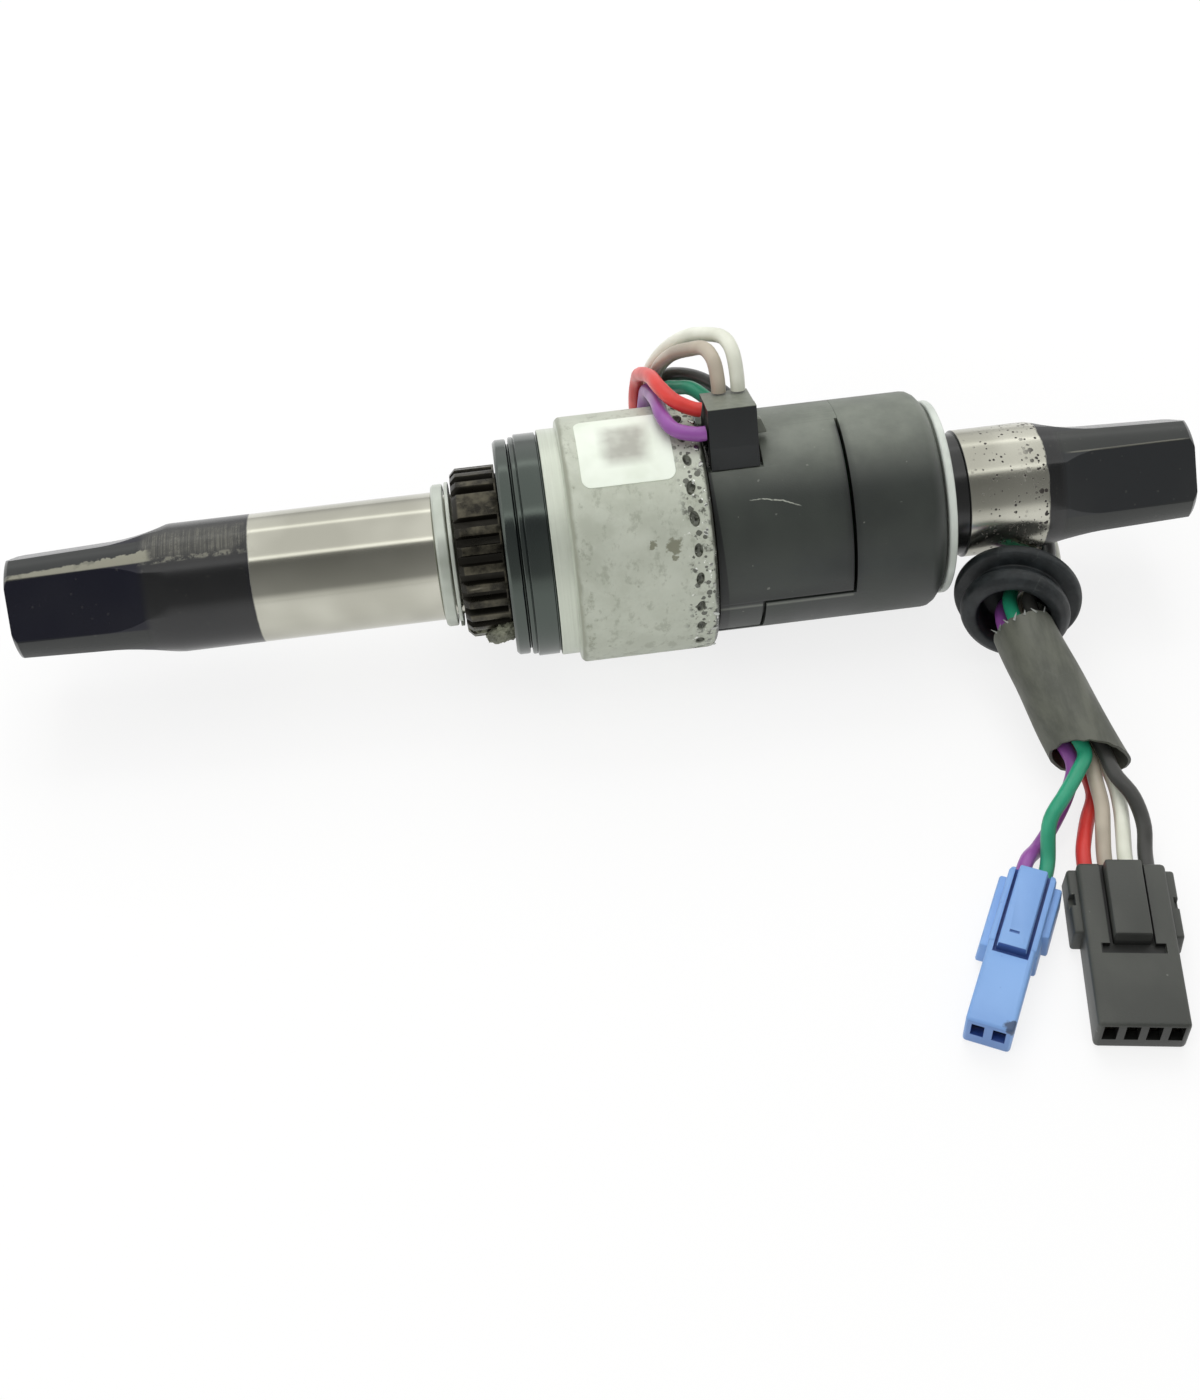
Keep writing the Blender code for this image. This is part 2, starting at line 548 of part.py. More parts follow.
def bearing(prefix, start, width, inner, outer, ball_r, balls):
    """A ball bearing: two grooved rings, and a cage in one piece with its balls."""
    middle = start + width / 2
    ball_at = (inner + outer) / 2
    race = ball_r + BALL_CLEARANCE
    land_in = inner + RING_WALL
    land_out = outer - RING_WALL
    steps = 2

    def groove(land, sign):
        """Points of a race across the ring, right to left."""
        half = sqrt(race ** 2 - (ball_at - land) ** 2)
        spread = [half * (1 - 2 * k / steps) for k in range(steps + 1)]
        return [(middle + offset, ball_at + sign * sqrt(race ** 2 - offset ** 2)) for offset in spread]

    end = start + width
    turned(prefix + "_bearing_inner", [(end, land_in)] + groove(land_in, -1) + [(start, land_in), (start, inner),
           (end, inner)], BEARING_STEEL, PLAIN_SEGMENTS)
    turned(prefix + "_bearing_outer", [(end, outer), (start, outer), (start, land_out)]
           + list(reversed(groove(land_out, 1))) + [(end, land_out)], BEARING_STEEL, PLAIN_SEGMENTS)
    half_cage = (land_out - land_in) / 2 - BALL_CLEARANCE
    cage = ring(prefix + "_ball_cage", middle - ball_r * 0.8, 1.6 * ball_r, ball_at - half_cage,
                ball_at + half_cage, BEARING_STEEL)
    bm = bmesh.new()
    for ball in range(balls):
        place = Matrix.Translation(around(middle, ball_at, 2 * pi * ball / balls) * MM)
        bmesh.ops.create_icosphere(bm, subdivisions=1, radius=ball_r * MM, matrix=place)
    boolean(cage, add_cutter(prefix + "_balls", mesh_from(prefix + "_balls", bm)), "UNION")


def pickup():
    """The bobbin with two coils, the shield round them, the board and the cadence magnet."""
    bore = SLEEVE_GAUGE_R + GAP
    tube = bore + BOBBIN_WALL
    end = BOBBIN_START + BOBBIN_LENGTH
    middle = (BOBBIN_START + end) / 2
    width = BOBBIN_FLANGE_WIDTH
    flange = BOBBIN_FLANGE_R
    turned("coil_bobbin", [(end, flange), (end - width, flange), (end - width, tube),
                           (middle + width / 2, tube), (middle + width / 2, flange), (middle - width / 2, flange),
                           (middle - width / 2, tube), (BOBBIN_START + width, tube), (BOBBIN_START + width, flange),
                           (BOBBIN_START, flange), (BOBBIN_START, bore), (end, bore)], BOBBIN_PLASTIC, PLAIN_SEGMENTS)
    bay = (end - BOBBIN_START - 3 * width) / 2 - 2 * GAP
    ring("excitation_coil", BOBBIN_START + width + GAP, bay, tube + GAP, COIL_R, COPPER)
    ring("pickup_coil", middle + width / 2 + GAP, bay, tube + GAP, COIL_R, COPPER)
    ring("flux_shield", BOBBIN_START, BOBBIN_LENGTH, flange + GAP, flange + GAP + SHIELD_WALL, BEARING_STEEL)
    ring("circuit_board", BOARD_START, BOARD_THICKNESS, BOARD_BORE_R, COVER_R - COVER_WALL - GAP, BOARD_GREEN)
    ring("magnet_ring", MAGNET_START, MAGNET_WIDTH, SPINDLE_R + GAP, MAGNET_R, MAGNET_GREY)


def block_frame():
    """The matrix of the cable exit block's middle, in metres, and its size in millimetres."""
    out = Vector((0, -cos(BLOCK_AT), sin(BLOCK_AT)))
    front = Vector((0, -cos(BLOCK_AT - pi / 2), sin(BLOCK_AT - pi / 2)))
    size = (BLOCK_WIDTH, BLOCK_DEPTH, BLOCK_TOP - BLOCK_BASE)
    middle = (X_AXIS * (COVER_START + BLOCK_INSET + BLOCK_WIDTH / 2 - HALF)
              + front * (BLOCK_FRONT - BLOCK_DEPTH / 2) + out * (BLOCK_TOP + BLOCK_BASE) / 2)
    axes = Matrix((X_AXIS, out.cross(X_AXIS), out)).transposed().to_4x4()
    return Matrix.Translation(middle * MM) @ axes, size


def covers():
    """The moulded shell, its lid with a snap tongue, the washer and the cable exit block."""
    inner = COVER_R - COVER_WALL
    bore = SPINDLE_R + RIM_GROOVE_DEPTH + SNAP_HEIGHT
    shell = turned("sensor_cover",
                   [(COVER_END, COVER_R - COVER_END_CHAMFER), (COVER_END - COVER_END_CHAMFER, COVER_R),
                    (COVER_START, COVER_R), (COVER_START, inner), (COVER_END - COVER_END_WALL, inner),
                    (COVER_END - COVER_END_WALL, bore), (COVER_END, bore)], COVER_PLASTIC)
    wide = sector_mesh("lid_opening", COVER_START - 2, COVER_START + PANEL_LENGTH + GAP,
                       PANEL_START_AT, PANEL_END_AT, 2 * COVER_R)
    boolean(shell, add_cutter("lid_opening", wide))
    recess = turn(add_cutter("tongue_recess", turned_mesh("tongue_recess", [
        (COVER_START + TONGUE_LENGTH + GAP, COVER_R + 2), (COVER_START - 1, COVER_R + 2),
        (COVER_START - 1, COVER_R - TONGUE_WALL - GAP),
        (COVER_START + TONGUE_LENGTH + GAP, COVER_R - TONGUE_WALL - GAP)], True)), FINE_SEGMENTS)
    slot = GAP / COVER_R
    narrow = add_cutter("tongue_span", sector_mesh("tongue_span", COVER_START - 3, COVER_START + 2 * TONGUE_LENGTH,
                                                   TONGUE_AT - slot, PANEL_START_AT + 0.2, 2 * COVER_R, 4))
    boolean(recess, narrow, "INTERSECT")
    boolean(shell, recess)
    lid = ring("cover_panel", COVER_START, PANEL_LENGTH, inner, COVER_R, COVER_PLASTIC, FINE_SEGMENTS)
    keep = sector_mesh("lid_span", COVER_START - 2, COVER_END, PANEL_START_AT + slot, PANEL_END_AT - slot, 2 * COVER_R)
    boolean(lid, add_cutter("lid_span", keep), "INTERSECT")
    tongue = turn(add_cutter("snap_tongue", turned_mesh("snap_tongue", [
        (COVER_START + TONGUE_LENGTH, COVER_R - TONGUE_SINK),
        (COVER_START + TONGUE_SINK, COVER_R - TONGUE_SINK), (COVER_START + TONGUE_SINK, COVER_R - TONGUE_WALL),
        (COVER_START + TONGUE_LENGTH, COVER_R - TONGUE_WALL)], True)), FINE_SEGMENTS)
    reach = add_cutter("tongue_reach", sector_mesh("tongue_reach", COVER_START - 3, COVER_END, TONGUE_AT,
                                                   PANEL_START_AT + 0.1, 2 * COVER_R, 4))
    boolean(tongue, reach, "INTERSECT")
    boolean(lid, tongue, "UNION")
    ring("end_washer", WASHER_START, WASHER_WIDTH, SPINDLE_R + GAP, WASHER_R, WHITE_PLASTIC, FINE_SEGMENTS)
    frame, size = block_frame()
    bm = bmesh.new()
    back, front = BLOCK_FRONT - BLOCK_DEPTH, BLOCK_FRONT
    step = front - BLOCK_SKIRT_DEPTH
    outline = [(back, BLOCK_BASE), (back, BLOCK_TOP), (front, BLOCK_TOP), (front, BLOCK_SKIRT_BASE),
               (step, BLOCK_SKIRT_BASE), (step, BLOCK_BASE)]
    ends = [[bm.verts.new(on_block(along, *point) * MM) for point in outline] for along in (0, BLOCK_WIDTH)]
    bm.faces.new(ends[0])
    bm.faces.new(list(reversed(ends[1])))
    for k in range(len(outline)):
        beside = (k + 1) % len(outline)
        bm.faces.new((ends[0][k], ends[1][k], ends[1][beside], ends[0][beside]))
    exit_block = add_part("cable_exit_block", mesh_from("cable_exit_block", bm), COVER_PLASTIC)
    bevel(exit_block, BLOCK_EDGE)
    bm = bmesh.new()
    block_into(bm, (size[0] + 2 * GAP, size[1] + 2 * GAP, size[2] + 2 * WINDOW_REACH), frame)
    boolean(lid, add_cutter("block_window", mesh_from("block_window", bm)))


def laid(point):
    """A harness point, moved along with the cover's left edge and outwards with the casting's radius."""
    x, y, z = point
    return Vector((x + COVER_START - HALF - LAID_OUT_X, y + GROWN * max(-1, min(1, y / LAID_OUT_R)),
                   z + GROWN * max(-1, min(1, 2 * z / LAID_OUT_R))))


def smooth_route(points, spacing):
    """Points at about an even spacing along a smooth curve (centripetal) through the given points."""
    route = [Vector(p) for p in points]
    padded = [2 * route[0] - route[1]] + route + [2 * route[-1] - route[-2]]
    dense = []
    fine = 24
    for k in range(1, len(padded) - 2):
        a, b, c, d = padded[k - 1:k + 3]
        t0 = 0.0
        t1 = t0 + sqrt((b - a).length)
        t2 = t1 + sqrt((c - b).length)
        t3 = t2 + sqrt((d - c).length)
        for step in range(fine):
            t = t1 + (t2 - t1) * step / fine
            ab = a.lerp(b, (t - t0) / (t1 - t0))
            bc = b.lerp(c, (t - t1) / (t2 - t1))
            cd = c.lerp(d, (t - t2) / (t3 - t2))
            abc = ab.lerp(bc, (t - t0) / (t2 - t0))
            bcd = bc.lerp(cd, (t - t1) / (t3 - t1))
            dense.append(abc.lerp(bcd, (t - t1) / (t2 - t1)))
    dense.append(route[-1])
    lengths = [0.0]
    for before, after in zip(dense, dense[1:]):
        lengths.append(lengths[-1] + (after - before).length)
    count = max(2, round(lengths[-1] / spacing))
    even, at = [], 0
    for k in range(count + 1):
        want = lengths[-1] * k / count
        while at < len(dense) - 2 and lengths[at + 1] < want:
            at += 1
        share = (want - lengths[at]) / (lengths[at + 1] - lengths[at])
        even.append(dense[at].lerp(dense[at + 1], min(1.0, share)))
    return even


def bundle_lanes():
    """The route of each wire while the six run together: beige in the middle and five round it."""
    middle = smooth_route([laid(point) for point in BUNDLE_ROUTE], BUNDLE_STEP)
    tangents = [(after - before).normalized() for before, after in zip(middle, middle[1:])]
    tangents.append(tangents[-1])
    side = X_AXIS - tangents[0] * X_AXIS.dot(tangents[0])
    side.normalize()
    lanes = {color: [] for color in WIRE_COLORS}
    for k, point in enumerate(middle):
        if k:
            side = tangents[k - 1].rotation_difference(tangents[k]) @ side
        up = side.cross(tangents[k])
        for color in lanes:
            if color not in RING_SLOTS:
                lanes[color].append(point.copy())
                continue
            angle = radians(RING_SLOTS[color]) + BUNDLE_TWIST * k / (len(middle) - 1)
            lanes[color].append(point + (side * cos(angle) + up * sin(angle)) * WIRE_PITCH)
    return lanes


def tube(name, points, radius, finish, resolution=2, radii=None):
    """A round cord with flat ends, through points in millimetres."""
    curve = bpy.data.curves.new(name, "CURVE")
    curve.dimensions = "3D"
    curve.bevel_depth = radius * MM
    curve.bevel_resolution = resolution
    curve.use_fill_caps = True
    spline = curve.splines.new("POLY")
    spline.points.add(len(points) - 1)
    for k, point in enumerate(points):
        spline.points[k].co = (*(Vector(point) * MM), 1.0)
        if radii:
            spline.points[k].radius = radii[k]
    color, roughness, metallic = finish
    curve.materials.append(material(name, color, roughness, metallic))
    made = bpy.data.objects.new(name, curve)
    parts.objects.link(made)
    return made


def way_matrix(rear, turn_by):
    """The frame of a connector: X across its ways, -Y out of its front, Z up, at its rear face."""
    return Matrix.Translation(rear * MM) @ Matrix.Rotation(turn_by, 4, "Z")


def connector(name, rear, turn_by, ways, finish, latch_width, ear):
    """A crimp connector: body, raised rear with ears, latch, and a way for each wire."""
    frame = way_matrix(rear, turn_by)
    width = ways * PIN_PITCH + 2 * CONNECTOR_SIDE
    half = CONNECTOR_HEIGHT / 2
    bm = bmesh.new()
    block_into(bm, (width, CONNECTOR_LENGTH, CONNECTOR_HEIGHT),
               frame @ Matrix.Translation(Vector((0, -CONNECTOR_LENGTH / 2, 0)) * MM))
    body = add_part(name, mesh_from(name, bm), finish)
    bm = bmesh.new()
    block_into(bm, (width + 2 * ear, REAR_LENGTH, REAR_HEIGHT),
               frame @ Matrix.Translation(Vector((0, -REAR_LENGTH / 2 - REAR_INSET, -REAR_DROP)) * MM))
    ears = add_cutter(name + "_ears", mesh_from(name + "_ears", bm))
    boolean(body, ears, "UNION")
    bm = bmesh.new()
    block_into(bm, (latch_width, LATCH_LENGTH, LATCH_HEIGHT + LATCH_ROOT),
               frame @ Matrix.Translation(Vector((0, -LATCH_LENGTH / 2 - LATCH_INSET,
                                                  half + (LATCH_HEIGHT - LATCH_ROOT) / 2)) * MM))
    latch = add_cutter(name + "_latch", mesh_from(name + "_latch", bm))
    boolean(body, latch, "UNION")
    bevel(body, CONNECTOR_EDGE)
    bm = bmesh.new()
    for way in range(ways):
        across = (way - (ways - 1) / 2) * PIN_PITCH
        chamber = CONNECTOR_LENGTH - WIRE_HOLE_DEPTH - WAY_MOUTH_DEPTH
        block_into(bm, (WAY_SIZE, chamber, WAY_SIZE),
                   frame @ Matrix.Translation(Vector((across, -WIRE_HOLE_DEPTH - chamber / 2, 0)) * MM))
    boolean(body, add_cutter(name + "_chambers", mesh_from(name + "_chambers", bm)))
    bm = bmesh.new()
    for way in range(ways):
        across = (way - (ways - 1) / 2) * PIN_PITCH
        block_into(bm, (WAY_MOUTH, 4, WAY_MOUTH),
                   frame @ Matrix.Translation(Vector((across, -CONNECTOR_LENGTH, 0)) * MM))
    boolean(body, add_cutter(name + "_mouths", mesh_from(name + "_mouths", bm)))
    bm = bmesh.new()
    for way in range(ways):
        across = (way - (ways - 1) / 2) * PIN_PITCH
        place = frame @ Matrix.Translation(Vector((across, 0, 0)) * MM) @ Matrix.Rotation(pi / 2, 4, "X")
        made = bmesh.ops.create_cone(bm, cap_ends=True, segments=12, radius1=WIRE_HOLE_R * MM,
                                     radius2=WIRE_HOLE_R * MM, depth=2 * (WIRE_HOLE_DEPTH + 1) * MM)["verts"]
        bmesh.ops.transform(bm, matrix=place, verts=made)
    boolean(body, add_cutter(name + "_wire_holes", mesh_from(name + "_wire_holes", bm)))
    return body


def way_point(rear, turn_by, ways, way, depth):
    """A point in millimetres on the middle line of a way, at a depth behind the rear face."""
    across = (way - (ways - 1) / 2) * PIN_PITCH
    return rear + Matrix.Rotation(turn_by, 3, "Z") @ Vector((across, -depth, 0))


def terminal(name, rear, turn_by, ways, way):
    """A crimped box terminal with a socket in its front."""
    across = (way - (ways - 1) / 2) * PIN_PITCH
    frame = way_matrix(rear, turn_by)
    outer = WAY_SIZE - 2 * GAP
    front = CONNECTOR_LENGTH - WAY_MOUTH_DEPTH - GAP
    bm = bmesh.new()
    place = frame @ Matrix.Translation(Vector((across, -front + TERMINAL_LENGTH / 2, 0)) * MM)
    block_into(bm, (outer, TERMINAL_LENGTH, outer), place)
    made = add_part(name, mesh_from(name, bm), TIN)
    bm = bmesh.new()
    bore = outer - 2 * TERMINAL_WALL
    block_into(bm, (bore, TERMINAL_LENGTH, bore), place @ Matrix.Translation(Vector((0, -TERMINAL_FLOOR, 0)) * MM))
    boolean(made, add_cutter(name + "_socket", mesh_from(name + "_socket", bm)))


def on_block(along, front, up):
    """A world point in millimetres: along, in front of and above the axis in the block's turned frame."""
    out = Vector((0, -cos(BLOCK_AT), sin(BLOCK_AT)))
    ahead = Vector((0, -cos(BLOCK_AT - pi / 2), sin(BLOCK_AT - pi / 2)))
    return X_AXIS * (COVER_START + BLOCK_INSET - HALF + along) + ahead * front + out * up


def over(x, radius, degrees):
    """A world point in millimetres over the casting, at a distance from the axis and an angle."""
    angle = radians(degrees)
    return Vector((x + COVER_START - HALF - LAID_OUT_X, -(radius + GROWN) * cos(angle), (radius + GROWN) * sin(angle)))


def wire_starts():
    """Where each wire leaves the exit block's left, back or top face, and its way to the bundle."""
    top = BLOCK_TOP + GAP
    back = BLOCK_FRONT - BLOCK_DEPTH - GAP
    left = -GAP
    return {
        "purple": [on_block(left, 8.9, top - 3.5), on_block(-1.3, 8.9, top - 3.5), over(9.6, 17.8, 88.3),
                   over(8.4, 17.8, 97.5), over(8.2, 17.8, 111), over(8.1, 17.8, 126), over(8.1, 18.3, 138),
                   over(8.1, 19.5, 150)],
        "red": [on_block(left, 5.6, top - 1.4), on_block(-1.2, 5.5, top - 1.2), over(10.1, 19.5, 99.8),
                over(8.6, 20.2, 107.5), over(8.0, 20.4, 119), over(7.6, 20.5, 132), over(7.3, 21.4, 146)],
        "green": [on_block(2.0, back, top - 2.2), on_block(1.6, back - 1.6, top - 2.0), over(13.3, 18.1, 124),
                  over(11.8, 18.4, 136), over(10.8, 19.3, 148)],
        "black": [on_block(4.6, back, top - 2.2), on_block(4.4, back - 1.8, top - 2.1), over(16.4, 18.0, 127),
                  over(14.5, 19.6, 139), over(12.6, 21.4, 151)],
        "white": [on_block(4.9, 3.2, top), on_block(4.9, 3.2, top + 1.6), on_block(4.7, 2.0, top + 4.6),
                  on_block(4.1, -0.8, top + 5.8), over(16.2, 24.8, 124.8), over(13.9, 25.0, 136),
                  over(11.4, 24.8, 148)],
        "beige": [on_block(2.4, 3.2, top), on_block(2.4, 3.2, top + 1.2), on_block(2.2, 2.1, top + 3.7),
                  on_block(1.4, -0.6, top + 4.8), over(13.4, 23.2, 124), over(11.5, 22.8, 136),
                  over(10.1, 22.4, 148)]}


def harness():
    """The wires, grommet, tube, connectors and terminals."""
    plugs = {"blue": (laid(BLUE_REAR), BLUE_TURN, 2), "four": (laid(FOUR_REAR), FOUR_TURN, 4)}
    starts = wire_starts()
    for color, lane in bundle_lanes().items():
        plug, way = WIRE_WAYS[color]
        finish = [way_point(*plugs[plug], way, depth) for depth in WIRE_DEPTHS]
        route = starts[color] + lane + [laid(point) for point in WIRE_ENDS[color]] + finish
        path = [Vector(route[0])] + smooth_route(route[1:-1], WIRE_STEP) + [Vector(route[-1])]
        tube("wire_" + color, path, WIRE_R, (WIRE_COLORS[color], 0.4, 0.0))
    path = smooth_route([laid(point) for point in BUNDLE_ROUTE], BUNDLE_STEP)[-1 - round(TUBE_LENGTH / BUNDLE_STEP):]
    grow = [1 + (TUBE_END_R / TUBE_START_R - 1) * k / (len(path) - 1) for k in range(len(path))]
    cable_sleeve = tube("cable_sleeve", path, TUBE_START_R, TUBE_GREY, 3, grow)
    cable_sleeve.data.use_fill_caps = False
    wall = cable_sleeve.modifiers.new("wall", "SOLIDIFY")
    wall.thickness = TUBE_WALL * MM
    wall.offset = -1
    half = GROMMET_WIDTH / 2
    slot = GROMMET_GROOVE_WIDTH / 2
    profile = [(half, GROMMET_R - 0.9), (half - 0.9, GROMMET_R), (slot, GROMMET_R), (slot, GROMMET_GROOVE_R),
               (-slot, GROMMET_GROOVE_R), (-slot, GROMMET_R), (0.6 - half, GROMMET_R), (-half, GROMMET_R - 0.6),
               (-half, GROMMET_BORE_R), (half, GROMMET_BORE_R)]
    mesh = turned_mesh("cable_grommet", [(HALF + along, radius) for along, radius in profile], True)
    grommet = turn(add_part("cable_grommet", mesh, RUBBER), FINE_SEGMENTS // 2)
    grommet.rotation_euler = GROMMET_AXIS.to_track_quat("Z", "Y").to_euler()
    grommet.location = laid(GROMMET_AT) * MM
    connector("two_pin_connector", *plugs["blue"], BLUE, BLUE_LATCH_WIDTH, BLUE_EAR)
    connector("four_pin_connector", *plugs["four"], BLACK_PLASTIC, FOUR_LATCH_WIDTH, FOUR_EAR)
    for color, (plug, way) in WIRE_WAYS.items():
        terminal("terminal_" + color, *plugs[plug], way)


def main():
    """Build every piece."""
    clear_scene()
    crank_spindle()
    ring("spindle_collar", COLLAR_START, COLLAR_WIDTH - GAP, SPINDLE_R + GAP, COLLAR_R, PALE_RING, FINE_SEGMENTS)
    snap_ring("sleeve_snap_ring", LEFT_GROOVE, PALE_RING)
    torque_sleeve()
    seal_and_cap()
    cast_housing()
    bearing("left", BEARING_START, LEFT_BEARING_WIDTH, SLEEVE_SEAT_R + GAP, LEFT_OUTER_R, LEFT_BALL_R, LEFT_BALLS)
    bearing("right", RIGHT_BEARING_START, RIGHT_BEARING_WIDTH, SPINDLE_R + GAP, RIGHT_OUTER_R, RIGHT_BALL_R,
            RIGHT_BALLS)
    snap_ring("right_snap_ring", RIGHT_GROOVE, BEARING_STEEL)
    pickup()
    covers()
    harness()


main()
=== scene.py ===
"""Looks of a bottom bracket torque sensor: a square taper spindle in a cast and moulded housing.

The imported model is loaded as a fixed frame. The spindle lies along X with its splined side at -X,
and Z is up. Sizes are in millimetres until a mesh is made. A station is a distance along the
spindle from its left tip. An angle round the spindle is 0 towards -Y and 90 towards +Z. Inside
the shaders places are in metres and angles in degrees.
"""

import logging
import random
from collections.abc import Callable
from dataclasses import dataclass
from enum import Enum
from math import cos, pi, radians, sin, sqrt, tan

import bmesh
import bpy
from mathutils import Matrix, Vector


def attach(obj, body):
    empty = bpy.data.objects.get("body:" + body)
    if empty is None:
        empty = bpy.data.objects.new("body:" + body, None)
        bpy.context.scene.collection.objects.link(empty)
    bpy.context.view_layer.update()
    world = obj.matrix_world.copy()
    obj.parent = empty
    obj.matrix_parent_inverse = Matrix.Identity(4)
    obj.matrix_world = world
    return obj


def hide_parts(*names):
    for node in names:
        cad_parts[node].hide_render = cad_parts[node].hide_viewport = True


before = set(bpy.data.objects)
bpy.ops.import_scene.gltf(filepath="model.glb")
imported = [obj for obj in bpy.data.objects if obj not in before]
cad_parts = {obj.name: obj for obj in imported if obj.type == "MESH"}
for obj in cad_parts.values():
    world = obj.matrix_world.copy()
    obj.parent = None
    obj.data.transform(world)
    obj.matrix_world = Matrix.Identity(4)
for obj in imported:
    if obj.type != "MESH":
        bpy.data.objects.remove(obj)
log = logging.getLogger("torque_sensor")

MM = 0.001
LENGTH = 156.0                 # the spindle's length
HALF = LENGTH / 2
X_AXIS = Vector((1, 0, 0))
ROUND = 144                    # facets round a visible turned piece
MERGE = 1e-7                   # points nearer than this in metres are one
BLOCK_AT = 115.0               # angle at which the exit block stands
COVER_START = 91.1             # station at which the cover starts

Piece = bpy.types.Object
Socket = bpy.types.NodeSocket
Point = tuple[float, float, float]
Color = tuple[int, int, int]
Pair = tuple[float, float]


class Body(str, Enum):
    """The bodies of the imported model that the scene's pieces ride on."""

    HOUSING = "housing"
    SPINDLE = "spindle"


def srgb(color: Color) -> Point:
    """Turn a colour as seen on a screen, from 0 to 255, into a linear one."""
    return tuple(((v / 255 + 0.055) / 1.055) ** 2.4 if v > 10 else v / 255 / 12.92 for v in color)


def metres(point: Point | Vector) -> Point:
    """Turn a point in millimetres into one in metres."""
    return tuple(Vector(point) * MM)


def outward(degrees: float) -> Vector:
    """Give the direction away from the spindle at an angle."""
    return Vector((0, -cos(radians(degrees)), sin(radians(degrees))))


def around(station: float, radius: float, degrees: float) -> Vector:
    """Give a point in millimetres at a station, a radius and an angle."""
    angle = radians(degrees)
    return Vector((station - HALF, -radius * cos(angle), radius * sin(angle)))


def facing(place: Vector, degrees: float) -> Matrix:
    """Give a frame with X along the spindle and Z pointing away from it.

    Args:
        place: Its origin in millimetres.
        degrees: Angle round the spindle.

    Returns:
        A 4 by 4 matrix in metres.
    """
    out = outward(degrees)
    return Matrix.Translation(place * MM) @ Matrix((X_AXIS, out.cross(X_AXIS), out)).transposed().to_4x4()


def shift(x: float, y: float, z: float) -> Matrix:
    """Give a move in millimetres as a matrix in metres."""
    return Matrix.Translation(metres((x, y, z)))


